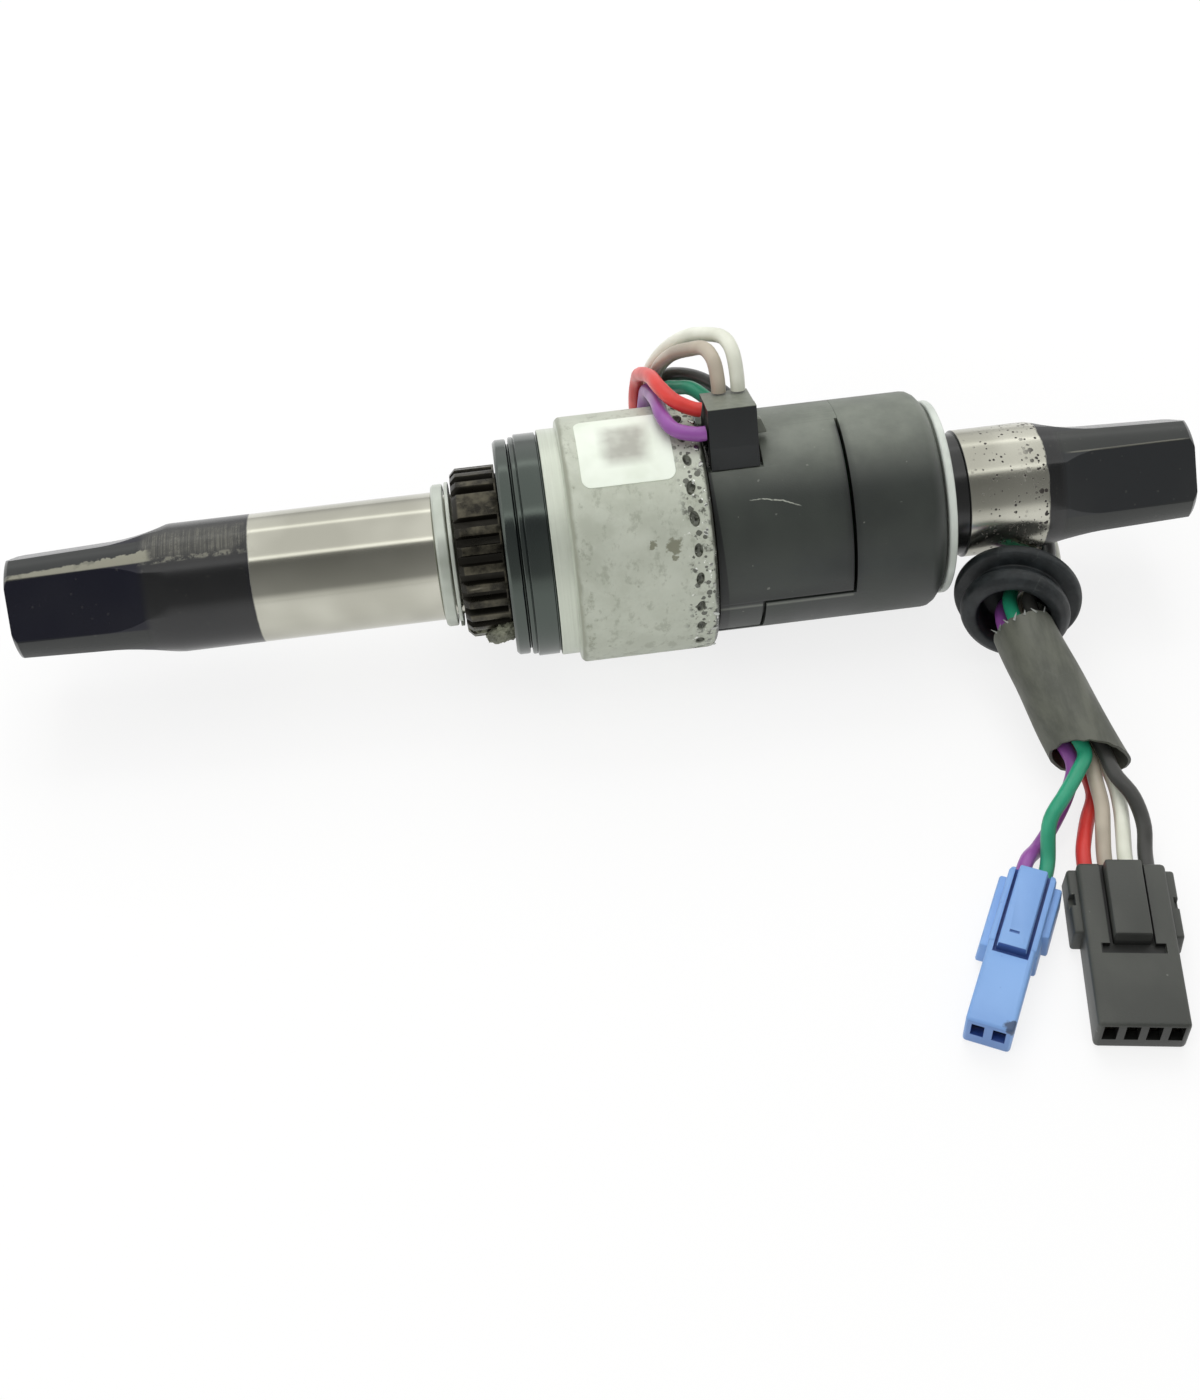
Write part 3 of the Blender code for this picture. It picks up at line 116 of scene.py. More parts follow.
class Bench:
    """Modelling steps that every sub-assembly uses."""

    @staticmethod
    def only(piece: Piece) -> None:
        """Make one piece the selected and active one."""
        bpy.ops.object.select_all(action="DESELECT")
        bpy.context.view_layer.objects.active = piece
        piece.select_set(True)

    @staticmethod
    def open(piece: Piece) -> None:
        """Open one piece in edit mode with all of it selected."""
        Bench.only(piece)
        bpy.ops.object.mode_set(mode="EDIT")
        bpy.ops.mesh.select_mode(type="VERT")
        bpy.ops.mesh.select_all(action="SELECT")

    @staticmethod
    def close() -> None:
        """Leave edit mode."""
        bpy.ops.object.mode_set(mode="OBJECT")

    @staticmethod
    def pick(piece: Piece, chosen: Callable[[Vector], bool]) -> None:
        """Select the vertices of an open piece whose place in metres passes a test."""
        bpy.ops.mesh.select_all(action="DESELECT")
        mesh = bmesh.from_edit_mesh(piece.data)
        for vert in mesh.verts:
            vert.select = bool(chosen(vert.co))
        mesh.select_flush(True)
        bmesh.update_edit_mesh(piece.data)

    @staticmethod
    def placed(name: str, data: bpy.types.ID) -> Piece:
        """Put data into the scene as an object."""
        piece = bpy.data.objects.new(name, data)
        bpy.context.scene.collection.objects.link(piece)
        return piece

    @staticmethod
    def shape(name: str, add: Callable, **settings) -> Piece:
        """Add a primitive with one of Blender's operators, and name it."""
        bpy.ops.object.select_all(action="DESELECT")
        add(**settings)
        bpy.context.object.name = name
        return bpy.context.object

    @staticmethod
    def resized(piece: Piece, scale: Point) -> Piece:
        """Scale a piece's mesh about the origin."""
        Bench.open(piece)
        bpy.ops.transform.resize(value=scale, center_override=(0, 0, 0))
        Bench.close()
        return piece

    @staticmethod
    def turned(name: str, outline: list[Pair], start: float = 0.0, sweep: float = 360.0, closed: bool = True,
               steps: int = ROUND) -> Piece:
        """Spin an outline round the spindle's axis.

        Args:
            name: The piece's name.
            outline: Points as (station, radius).
            start: Angle at which the outline is drawn.
            sweep: Angle through which it is spun.
            closed: Whether the outline's end is joined to its start.
            steps: Facets of the sweep.

        Returns:
            The new piece, closed at its ends if the sweep isn't a full turn.
        """
        piece = Bench.shape(name, bpy.ops.mesh.primitive_plane_add, size=MM)
        bpy.ops.object.mode_set(mode="EDIT")
        bpy.ops.mesh.merge(type="CENTER")
        places = [around(station, radius, start) * MM for station, radius in outline]
        if closed:
            places.append(places[0])
        bpy.ops.transform.translate(value=places[0])
        for before, after in zip(places, places[1:]):
            bpy.ops.mesh.extrude_region_move(TRANSFORM_OT_translate={"value": after - before})
        bpy.ops.mesh.select_all(action="SELECT")
        bpy.ops.mesh.remove_doubles(threshold=MERGE)
        bpy.ops.mesh.spin(steps=steps, angle=radians(sweep), center=(0, 0, 0), axis=(1, 0, 0))
        bpy.ops.mesh.select_all(action="SELECT")
        bpy.ops.mesh.remove_doubles(threshold=MERGE)
        if sweep < 360:
            bpy.ops.mesh.select_all(action="SELECT")
            bpy.ops.mesh.fill_holes(sides=0)
        bpy.ops.mesh.normals_make_consistent(inside=False)
        Bench.close()
        return piece

    @staticmethod
    def hoop(name: str, stations: Pair, radii: Pair, start: float, sweep: float, steps: int = ROUND) -> Piece:
        """Spin a rectangle round the spindle's axis.

        Args:
            name: The piece's name.
            stations: Its left and right ends.
            radii: Its inner and outer radius.
            start: Angle at which it starts.
            sweep: Angle that it covers.
            steps: Facets of the sweep.

        Returns:
            The new piece.
        """
        (left, right), (inner, outer) = stations, radii
        return Bench.turned(name, [(right, inner), (right, outer), (left, outer), (left, inner)], start, sweep,
                            steps=steps)

    @staticmethod
    def block(name: str, size: Point, matrix: Matrix, top: Pair = (1.0, 1.0)) -> Piece:
        """Add a block whose top face may be wider or narrower than its foot.

        Args:
            name: The piece's name.
            size: Its three sizes in millimetres.
            matrix: Where its middle goes, in metres.
            top: Scale of the top face along X and Y.

        Returns:
            The new piece.
        """
        piece = Bench.shape(name, bpy.ops.mesh.primitive_cube_add, size=1.0)
        Bench.open(piece)
        Bench.pick(piece, lambda at: at.z > 0)
        bpy.ops.transform.resize(value=(*top, 1.0), center_override=(0, 0, 0.5))
        bpy.ops.mesh.select_all(action="SELECT")
        bpy.ops.transform.resize(value=metres(size), center_override=(0, 0, 0))
        Bench.close()
        piece.data.transform(matrix)
        return piece

    @staticmethod
    def copies(name: str, model: Piece, places: list[Matrix]) -> Piece:
        """Copy a modelled shape to several places as one piece, and drop the model.

        Args:
            name: The name of the joined piece.
            model: The shape, drawn about the origin.
            places: A matrix in metres for each copy.

        Returns:
            The joined piece.
        """
        gathered = bmesh.new()
        for place in places:
            mesh = model.data.copy()
            mesh.transform(place)
            gathered.from_mesh(mesh)
            bpy.data.meshes.remove(mesh)
        mesh = bpy.data.meshes.new(name)
        gathered.to_mesh(mesh)
        gathered.free()
        bpy.data.objects.remove(model)
        return Bench.placed(name, mesh)

    @staticmethod
    def apply(piece: Piece, kind: str, **settings) -> Piece:
        """Add a modifier with its settings, apply it at once and give the piece back."""
        step = piece.modifiers.new(kind.lower(), kind)
        for key, value in settings.items():
            setattr(step, key, value)
        Bench.only(piece)
        bpy.ops.object.modifier_apply(modifier=step.name)
        return piece

    @staticmethod
    def cut(piece: Piece, cutter: Piece, operation: str = "DIFFERENCE") -> Piece:
        """Cut, join or intersect a piece with another, which is used up."""
        Bench.apply(piece, "BOOLEAN", operation=operation, solver="EXACT", object=cutter)
        bpy.data.objects.remove(cutter)
        return piece

    @staticmethod
    def ease(piece: Piece, width: float, segments: int = 2, angle: float = 32.0) -> Piece:
        """Round the edges of a piece that are sharper than an angle.

        Args:
            piece: The piece.
            width: Width of the rounding in millimetres.
            segments: Facets across it.
            angle: The angle in degrees.

        Returns:
            The same piece.
        """
        return Bench.apply(piece, "BEVEL", width=width * MM, segments=segments, limit_method="ANGLE",
                           angle_limit=radians(angle), use_clamp_overlap=True)

    @staticmethod
    def hand_over(piece: Piece, body: Body, finish: "Finish", slot: str, *nodes: str, smooth: float = 35.0) -> Piece:
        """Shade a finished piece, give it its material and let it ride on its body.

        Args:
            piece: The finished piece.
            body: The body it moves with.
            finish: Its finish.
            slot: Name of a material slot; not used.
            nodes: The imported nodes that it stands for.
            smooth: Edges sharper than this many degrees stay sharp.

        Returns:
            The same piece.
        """
        Bench.only(piece)
        if piece.type == "MESH":
            bpy.ops.object.shade_smooth_by_angle(angle=radians(smooth))
        piece.data.materials.clear()
        piece.data.materials.append(finish.material())
        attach(piece, body.value)
        if nodes:
            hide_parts(*nodes)
        log.info("%s rides on %s and stands for %s", piece.name, body.value, ", ".join(nodes) or "no node")
        return piece


class Graph:
    """Short ways to add and join shader nodes in one tree."""

    def __init__(self, tree: bpy.types.NodeTree) -> None:
        """Keep the tree that the nodes go into, and the sockets of its shader if it has one."""
        self.tree = tree
        self.place: Socket | None = None
        shader = tree.nodes.get("Principled BSDF")
        self.shader = shader.inputs if shader else None

    @property
    def at(self) -> Socket:
        """The object's own coordinates, or the vector that a group is given."""
        if self.place is None:
            self.place = self.add("ShaderNodeTexCoord").outputs["Object"]
        return self.place

    def feed(self, socket: Socket, value: object) -> None:
        """Link a socket to another socket, or set it to a plain value."""
        if isinstance(value, Socket):
            self.tree.links.new(value, socket)
        elif isinstance(value, tuple) and socket.type == "RGBA":
            socket.default_value = (*value, 1.0)
        else:
            socket.default_value = value

    def add(self, kind: str, inputs: dict | None = None, **settings) -> bpy.types.Node:
        """Add a node with its settings and inputs."""
        node = self.tree.nodes.new(kind)
        for key, value in settings.items():
            setattr(node, key, value)
        for key, value in (inputs or {}).items():
            self.feed(node.inputs[key], value)
        return node

    def math(self, operation: str, first: object, second: object = 0.0, clamp: bool = False) -> Socket:
        """Add a Math node and give its result."""
        return self.add("ShaderNodeMath", {0: first, 1: second}, operation=operation, use_clamp=clamp).outputs[0]

    def vector(self, operation: str, *inputs: object) -> bpy.types.bpy_prop_collection:
        """Add a Vector Math node and give its outputs, the vector first and the value second."""
        return self.add("ShaderNodeVectorMath", dict(enumerate(inputs)), operation=operation).outputs

    def plus(self, first: object, second: object, clamp: bool = False) -> Socket:
        """Give a sum."""
        return self.math("ADD", first, second, clamp)

    def less(self, first: object, second: object, clamp: bool = False) -> Socket:
        """Give a difference."""
        return self.math("SUBTRACT", first, second, clamp)

    def apart(self, first: object, second: object) -> Socket:
        """Give how far two values lie apart."""
        return self.math("ABSOLUTE", self.less(first, second))

    def fold(self, operation: str, values: tuple) -> Socket:
        """Join several values by one operation."""
        result = values[0]
        for value in values[1:]:
            result = self.math(operation, result, value)
        return result

    def most(self, *masks: object) -> Socket:
        """Give the largest of several masks."""
        return self.fold("MAXIMUM", masks)

    def times(self, *masks: object) -> Socket:
        """Give the product of several masks."""
        return self.fold("MULTIPLY", masks)

    def span(self, value: object, low: float, high: float, to_low: float = 0.0, to_high: float = 1.0) -> Socket:
        """Map a range of values smoothly onto another."""
        return self.add("ShaderNodeMapRange", {0: value, 1: low, 2: high, 3: to_low, 4: to_high},
                        interpolation_type="SMOOTHSTEP").outputs[0]

    def layers(self, color: object, *coats: tuple[object, Color]) -> Socket:
        """Lay colours over a first one, each through its mask."""
        for mask, coat in coats:
            first, second = (srgb(part) if isinstance(part, tuple) else part for part in (color, coat))
            color = self.add("ShaderNodeMix", {0: mask, 6: first, 7: second}, data_type="RGBA").outputs[2]
        return color

    def stretch(self, scale: Point) -> Socket:
        """Give scaled coordinates, so that a pattern is drawn out along an axis."""
        return self.add("ShaderNodeMapping", {"Vector": self.at, "Scale": scale}).outputs[0]

    def noise(self, scale: object, detail: float = 3.0, roughness: float = 0.55,
              stretch: Point | None = None) -> Socket:
        """Add a noise texture, drawn out if asked, and give its value."""
        return self.add("ShaderNodeTexNoise", {
            "Vector": self.stretch(stretch) if stretch else self.at, "Scale": scale, "Detail": detail,
            "Roughness": roughness, "Distortion": 0.0}).outputs[0]

    def wander(self, size: object, scale: float, detail: float = 3.0, roughness: float = 0.55) -> Socket:
        """Give noise about zero, of a given size."""
        return self.times(self.less(self.noise(scale, detail, roughness), 0.5), size)

    def split(self, vector: Socket) -> list[Socket]:
        """Give the three parts of a vector."""
        return list(self.add("ShaderNodeSeparateXYZ", {0: vector}).outputs)

    def along(self) -> Socket:
        """Give the place along X."""
        return self.split(self.at)[0]

    def reach(self) -> Socket:
        """Give the distance from the spindle's axis."""
        _, across, up = self.split(self.at)
        return self.math("SQRT", self.plus(self.times(across, across), self.times(up, up)))

    def near(self, vector: Socket, place: Point | Vector, ragged: Socket, reach: float, share: float) -> Socket:
        """Give a ragged spot.

        Args:
            vector: The coordinates.
            place: Its middle in millimetres.
            ragged: What is added to the distance from it.
            reach: Its radius in millimetres.
            share: Share of the radius inside which it is full.

        Returns:
            The spot's mask.
        """
        distance = self.plus(self.vector("DISTANCE", vector, metres(place))[1], ragged)
        return self.span(distance, reach * MM, reach * share * MM)

    def between(self, value: Socket, low: object, high: object, softness: object) -> Socket:
        """Give a mask of the values between two others, with soft ends."""
        into = self.math("DIVIDE", self.less(value, low), softness)
        out = self.math("DIVIDE", self.less(high, value), softness)
        return self.math("MINIMUM", self.plus(into, 0.5, True), self.plus(out, 0.5, True))

    def group(self, name: str, **inputs) -> bpy.types.bpy_prop_collection:
        """Place a shared group, its inputs named with underscores for spaces, and give its outputs."""
        node = self.tree.nodes.new("ShaderNodeGroup")
        node.node_tree = Groups.get(name)
        for key, value in {"Vector": self.at, **inputs}.items():
            self.feed(node.inputs[key.replace("_", " ")], value)
        return node.outputs

    def band(self, start: float, end: float, softness: float, waver: float = 0.0) -> Socket:
        """Give a mask of a stretch along X."""
        return self.group("band", Start=start, End=end, Softness=softness, Waver=waver)[0]

    def sector(self, low: float, high: float, softness: float) -> Socket:
        """Give a mask of a range of angles round the spindle."""
        return self.group("sector", From=low, To=high, Softness=softness)["Mask"]

    def angle(self) -> Socket:
        """Give the angle round the spindle."""
        return self.group("sector")["Angle"]

    def specks(self, scale: float, cover: float, softness: float = 0.06) -> Socket:
        """Give a mask of small separate specks."""
        return self.group("specks", Scale=scale, Cover=cover, Softness=softness)[0]

    def painted(self) -> Socket:
        """Give the shader's colour so far."""
        return self.shader["Base Color"].links[0].from_socket

    def dress(self, **values) -> None:
        """Feed the shader's inputs, named with underscores for spaces."""
        for key, value in values.items():
            self.feed(self.shader[key.replace("_", " ")], value)

    def bump(self, height: Socket, depth: float) -> None:
        """Let a height shape the surface.

        Args:
            height: The height, from 0 to 1.
            depth: What a height of 1 stands for, in millimetres.
        """
        self.dress(Normal=self.add("ShaderNodeBump", {"Height": height, "Distance": depth * MM,
                                                      "Strength": 1.0}).outputs[0])


class Groups:
    """The shader node groups that several finishes share, each built at its first use."""

    made: dict[str, bpy.types.NodeTree] = {}
    inputs: dict[str, dict[str, float | None]] = {
        "band": {"Vector": None, "Start": -1.0, "End": 1.0, "Softness": 0.0002, "Waver": 0.0},
        "sector": {"Vector": None, "From": 0.0, "To": 90.0, "Softness": 2.0},
        "specks": {"Vector": None, "Scale": 1000.0, "Cover": 0.5, "Softness": 0.06},
        "hollow": {"Vector": None, "Middle": None, "Half": None},
        "grain": {"Vector": None, "Scale": 3000.0, "Slow Share": 0.3},
        "scuffs": {"Vector": None, "Scale": 300.0, "Amount": 0.3}}

    @classmethod
    def get(cls, name: str) -> bpy.types.NodeTree:
        """Give a group by its name, its inputs being vectors where they have no value."""
        if name not in cls.made:
            tree = cls.made[name] = bpy.data.node_groups.new(name, "ShaderNodeTree")
            for key, value in cls.inputs[name].items():
                kind = "NodeSocketVector" if value is None else "NodeSocketFloat"
                socket = tree.interface.new_socket(name=key, in_out="INPUT", socket_type=kind)
                if value is not None:
                    socket.default_value = value
            graph = Graph(tree)
            given = graph.add("NodeGroupInput").outputs
            graph.place = given["Vector"]
            makers = {"band": cls.band, "sector": cls.sector, "specks": cls.specks, "hollow": cls.hollow,
                      "grain": cls.grain, "scuffs": cls.scuffs}
            results = makers[name](graph, given)
            for key in results:
                tree.interface.new_socket(name=key, in_out="OUTPUT", socket_type="NodeSocketFloat")
            result = graph.add("NodeGroupOutput")
            for key, value in results.items():
                graph.feed(result.inputs[key], value)
        return cls.made[name]

    @staticmethod
    def band(graph: Graph, given: dict[str, Socket]) -> dict[str, Socket]:
        """Mask of a stretch along X whose ends waver a little."""
        along = graph.plus(graph.along(), graph.wander(given["Waver"], 420.0))
        return {"Mask": graph.between(along, given["Start"], given["End"], given["Softness"])}

    @staticmethod
    def sector(graph: Graph, given: dict[str, Socket]) -> dict[str, Socket]:
        """Angle round the spindle in degrees, and a mask of the angles between two values."""
        _, across, up = graph.split(graph.at)
        angle = graph.times(graph.math("ARCTAN2", up, graph.times(across, -1.0)), 180 / pi)
        return {"Angle": angle, "Mask": graph.between(angle, given["From"], given["To"], given["Softness"])}

    @staticmethod
    def specks(graph: Graph, given: dict[str, Socket]) -> dict[str, Socket]:
        """Mask of small separate specks, dots or pits."""
        cells = graph.add("ShaderNodeTexVoronoi", {"Vector": graph.at, "Scale": given["Scale"], "Randomness": 1.0})
        reach = graph.plus(cells.outputs["Distance"], graph.wander(0.3, 2600.0, 2.0))
        size = graph.times(given["Cover"], graph.math("POWER", graph.split(cells.outputs["Color"])[0], 2.0))
        return {"Mask": graph.math("DIVIDE", graph.less(size, reach), given["Softness"], True)}

    @staticmethod
    def hollow(graph: Graph, given: dict[str, Socket]) -> dict[str, Socket]:
        """Mask of a box."""
        apart = graph.vector("ABSOLUTE", graph.vector("SUBTRACT", graph.at, given["Middle"])[0])[0]
        inside = graph.vector("SUBTRACT", given["Half"], apart)[0]
        return {"Mask": graph.span(graph.fold("MINIMUM", graph.split(inside)), -0.00003, 0.00003)}

    @staticmethod
    def grain(graph: Graph, given: dict[str, Socket]) -> dict[str, Socket]:
        """Fine surface height with a slow change of level."""
        fine, slow = graph.noise(given["Scale"], 2.0), graph.noise(graph.times(given["Scale"], 0.07), 2.0)
        mixed = graph.add("ShaderNodeMix", {0: given["Slow Share"], 2: fine, 3: slow}, data_type="FLOAT")
        return {"Height": mixed.outputs[0], "Slow": slow}

    @staticmethod
    def scuffs(graph: Graph, given: dict[str, Socket]) -> dict[str, Socket]:
        """Mask of thin pale handling marks."""
        warped = graph.vector("ADD", graph.at, graph.times(graph.noise(90.0, 2.0), 0.004))[0]
        cells = graph.add("ShaderNodeTexVoronoi", {"Vector": warped, "Scale": given["Scale"]},
                          feature="DISTANCE_TO_EDGE")
        lines = graph.math("LESS_THAN", cells.outputs["Distance"], 0.02)
        return {"Mask": graph.times(lines, graph.math("LESS_THAN", graph.noise(160.0, 2.0), given["Amount"]))}


@dataclass(frozen=True)
class Finish:
    """One surface finish.

    Attributes:
        name: The material's name.
        color: Its main colour, as seen on a screen.
        second: The colour that it varies towards.
        roughness: The plain roughness.
        metallic: 1 for bare metal.
    """

    name: str
    color: Color
    second: Color
    roughness: float = 0.45
    metallic: float = 0.0

    def material(self) -> bpy.types.Material:
        """Build the material once and give it."""
        name = f"{self.name}_finish"
        if name in bpy.data.materials:
            return bpy.data.materials[name]
        made = bpy.data.materials.new(name)
        made.use_nodes = True
        graph = Graph(made.node_tree)
        graph.dress(Roughness=self.roughness, Metallic=self.metallic)
        self.paint(graph)
        return made

    def paint(self, graph: Graph) -> None:
        """Give the surface its colour, variation and relief.

        Args:
            graph: The material's graph.
        """
        grain = graph.group("grain", Scale=2600.0, Slow_Share=0.3)
        graph.dress(Base_Color=graph.layers(self.color, (graph.span(grain["Slow"], 0.3, 0.7), self.second)),
                    Roughness=graph.span(grain["Slow"], 0.25, 0.75, self.roughness - 0.06, self.roughness + 0.06))
        graph.bump(grain["Height"], 0.012)


@dataclass(frozen=True)
class SpindleSteel(Finish):
    """Ground steel between two blackened tapers, with paler corners, worn nicks, wear painted along the upper arrises
    as highlights, and rust specks.
    """

    black: Color = (19, 20, 34)
    black_right: Color = (47, 49, 51)
    neck: Color = (16, 17, 20)
    corner: Color = (54, 56, 54)
    # Bare steel for nicks and wear, and for the painted highlights along the upper arrises.
    worn_and_highlight: Color = (150, 149, 136)
    rust: Color = (34, 27, 20)

    def paint(self, graph: Graph) -> None:
        """Lay blackening, grinding marks, wear, painted highlights along the upper arrises and rust over the steel."""
        band, sector, span, times = graph.band, graph.sector, graph.span, graph.times
        along, angle = graph.along(), graph.angle()
        grinding = graph.noise(4200.0, 3.0, 0.6, stretch=(1.0, 0.02, 0.02))
        slow, fine = graph.noise(70.0, 2.0), graph.noise(900.0, 4.0, 0.7)
        black = graph.most(band(-0.2, -0.0464, 0.0002, 0.0002), band(0.0578, 0.2, 0.0002, 0.0006),
                           band(0.0440, 0.04735, 0.0001))
        bare = graph.less(1.0, black)
        necks = graph.most(band(-0.0603, -0.0464, 0.0012), band(0.0440, 0.0600, 0.0010))
        corners = graph.most(*(sector(low, low + 26.0, 2.0) for low in (72.0, -18.0, -108.0, 162.0)))
        nicks = graph.most(times(span(slow, 0.3, 0.8), 0.03), times(graph.specks(950.0, 0.2), 0.07))
        dark = graph.layers(self.black, (graph.math("GREATER_THAN", along, 0.0), self.black_right),
                            (times(corners, 0.8), self.corner), (necks, self.neck), (nicks, self.worn_and_highlight))
        rusty = times(graph.most(times(graph.specks(1500.0, 0.62), span(along, 0.0538, 0.0568)),
                                 times(graph.specks(1900.0, 0.42), span(along, 0.0470, 0.0510))), bare)
        # The strip and the arris lay bare metal only along the flats' upper edges, where the highlights fall: painted
        # highlights.
        edge = graph.plus(span(along, -0.0780, -0.0590, 77.2, 83.5),
                          times(graph.less(fine, 0.5), span(along, -0.078, -0.060, 4.0, 16.0)))
        strip = times(span(graph.less(edge, angle), -0.8, 1.2), span(angle, 71.6, 73.4),
                      band(-0.0779, -0.0592, 0.0012, 0.003), span(graph.noise(420.0), 0.28, 0.42, 0.55, 1.0))
        scratched = times(sector(74.0, 104.0, 8.0), band(-0.0600, -0.0470, 0.0012, 0.004),
                          span(grinding, 0.40, 0.66, 0.25, 1.0), span(fine, 0.3, 0.6, 0.5, 1.0), 0.34)
        rim = times(sector(69.0, 74.0, 2.0), band(-0.0600, -0.0470, 0.002, 0.004), span(fine, 0.42, 0.60), 0.55)
        arris = times(span(graph.apart(angle, span(along, 0.0606, 0.078, 71.4, 73.3)), 1.1, 0.4),
                      band(0.0612, 0.0770, 0.0015, 0.001), 0.4)
        wear_and_highlight = graph.most(strip, scratched, rim, arris)
        steel = graph.layers(self.color, (span(slow, 0.35, 0.65), self.second), (black, dark), (rusty, self.rust),
                             (wear_and_highlight, self.worn_and_highlight))
        rough = graph.add("ShaderNodeMix", {0: black, 2: span(along, -0.03, 0.05, 0.13, 0.2), 3: 0.24},
                          data_type="FLOAT").outputs[0]
        rough = graph.plus(graph.plus(rough, times(wear_and_highlight, 0.14)), times(rusty, 0.4), True)
        graph.dress(Base_Color=steel, Roughness=rough, Specular_IOR_Level=span(necks, 0.0, 1.0, 0.45, 0.85),
                    Metallic=graph.less(span(graph.most(bare, wear_and_highlight), 0.0, 1.0, 0.3, 1.0), rusty, True))
        height = graph.less(times(grinding, 0.12), times(rusty, 0.6))
        graph.bump(graph.plus(height, times(wear_and_highlight, fine, 0.5)), 0.02)


@dataclass(frozen=True)
class SplineSteel(Finish):
    """Dark oily steel, paler on the teeth's tops with painted glints, and dirty underneath."""

    dirt: Color = (118, 120, 100)
    # Painted highlight along the teeth's tops.
    painted_glint: Color = (120, 116, 102)

    def paint(self, graph: Graph) -> None:
        """Wear the tops paler, paint glints onto them and leave dirt below."""
        span, times = graph.span, graph.times
        top = span(graph.reach(), 0.01095, 0.0112)
        patchy = graph.noise(420.0, 4.0, 0.65)
        drawn = graph.noise(2400.0, stretch=(0.15, 1.0, 1.0))
        grime = times(graph.sector(-75.0, -22.0, 10.0), span(graph.noise(900.0, 4.0, 0.7), 0.45, 0.62))
        # The drawn streaks on the teeth's tops are painted highlights.
        color = graph.layers(self.color, (times(top, span(patchy, 0.35, 0.7)), self.second),
                             (times(top, span(drawn, 0.62, 0.75), 0.7), self.painted_glint), (grime, self.dirt))
        graph.dress(Base_Color=color, Metallic=graph.less(0.7, grime, True),
                    Roughness=span(patchy, 0.3, 0.75, 0.24, 0.46))
        graph.bump(graph.plus(times(drawn, 0.3), grime), 0.03)


@dataclass(frozen=True)
class Casting(Finish):
    """Cast aluminium: mottled and specked, with a dark line of painted shadow and dirt at the step from its spigot,
    machined on its spigot, greasy along its right edge with painted glints in the grease.
    """

    cloud: Color = (204, 208, 194)
    machined: Color = (205, 211, 197)
    # Colour of the specks, also of the painted shadow in the step at the spigot.
    speck_and_edge_shade: Color = (134, 137, 120)
    grease: Color = (36, 37, 27)
    # Painted glints in the grease along the staked edge.
    painted_glint: Color = (236, 238, 232)
    stain: Color = (112, 112, 90)
    stains: tuple[Point, ...] = ((85.5, 37.0, 1.15), (85.3, 31.6, 0.45), (82.9, 38.8, 0.5))

    def paint(self, graph: Graph) -> None:
        """Mottle the skin, paint shadow and dirt into the step at the spigot, machine the spigot, smear grease along
        the staked edge and paint glints into it.
        """
        band, span, times, noise = graph.band, graph.span, graph.times, graph.noise
        mottle = noise(260.0, 5.0, 0.65)
        fine = span(noise(620.0, 5.0, 0.72, stretch=(1.0, 0.7, 0.7)), 0.51, 0.65)
        skin_and_edge_shade = graph.most(times(graph.specks(700.0, 0.24, 0.12), 0.6),
                          times(fine, span(graph.along(), -0.0020, -0.0050, 0.42, 0.75)),
                          times(span(noise(190.0, 4.0, 0.7), 0.60, 0.72), 0.25))
        ragged = graph.wander(0.0022, 1100.0, 4.0, 0.7)
        spots = graph.most(*(graph.near(graph.at, around(station, 16.3, degrees), ragged, reach, 0.6)
                             for station, degrees, reach in self.stains))
        spigot = band(-0.0100, -0.0051, 0.0002)
        # The band at the casting's left edge, by the spigot's step, is a dark line of painted shadow with dirt.
        skin_and_edge_shade = graph.most(times(skin_and_edge_shade, graph.less(1.0, spigot)), times(band(-0.0054, -0.0046, 0.0004, 0.0009), 0.7))
        edge, rim = band(0.0091, 0.0140, 0.0012, 0.0022), band(0.01235, 0.0140, 0.0003, 0.0009)
        smeared = graph.most(times(span(noise(640.0, 4.0, 0.7), 0.55, 0.66), 0.75),
                             times(graph.specks(1300.0, 0.6), 0.8))
        sunk = times(span(graph.reach(), 0.01625, 0.01605), band(0.0093, 0.0115, 0.0001),
                     span(noise(1500.0, 2.0), 0.3, 0.62, 0.99, 0.62))
        grease = graph.most(times(edge, smeared), times(rim, 0.9), sunk)
        turned = span(noise(3600.0, stretch=(1.0, 0.02, 0.02)), 0.3, 0.7, 0.55, 0.95)
        color = graph.layers(self.color, (span(mottle, 0.36, 0.66), self.second),
                             (times(span(noise(70.0, 3.0, 0.5), 0.42, 0.68), 0.4), self.cloud), (skin_and_edge_shade, self.speck_and_edge_shade),
                             (times(spigot, turned), self.machined), (times(spots, 0.8), self.stain),
                             (grease, self.grease),
                             # Bright specks in the greasy edge: painted glints.
                             (times(edge, span(noise(1250.0, 3.0, 0.6), 0.655, 0.69)), self.painted_glint))
        rough = graph.less(span(mottle, 0.3, 0.7, 0.42, 0.6), times(spigot, 0.14))
        graph.dress(Base_Color=color, Roughness=graph.less(rough, times(grease, 0.22), True),
                    Metallic=graph.less(graph.most(times(spigot, 0.35), 0.2), grease, True))
        height = graph.less(graph.plus(times(mottle, 0.55), times(noise(2100.0), 0.35)), times(skin_and_edge_shade, 0.35))
        graph.bump(graph.plus(height, times(grease, 0.3)), 0.06)


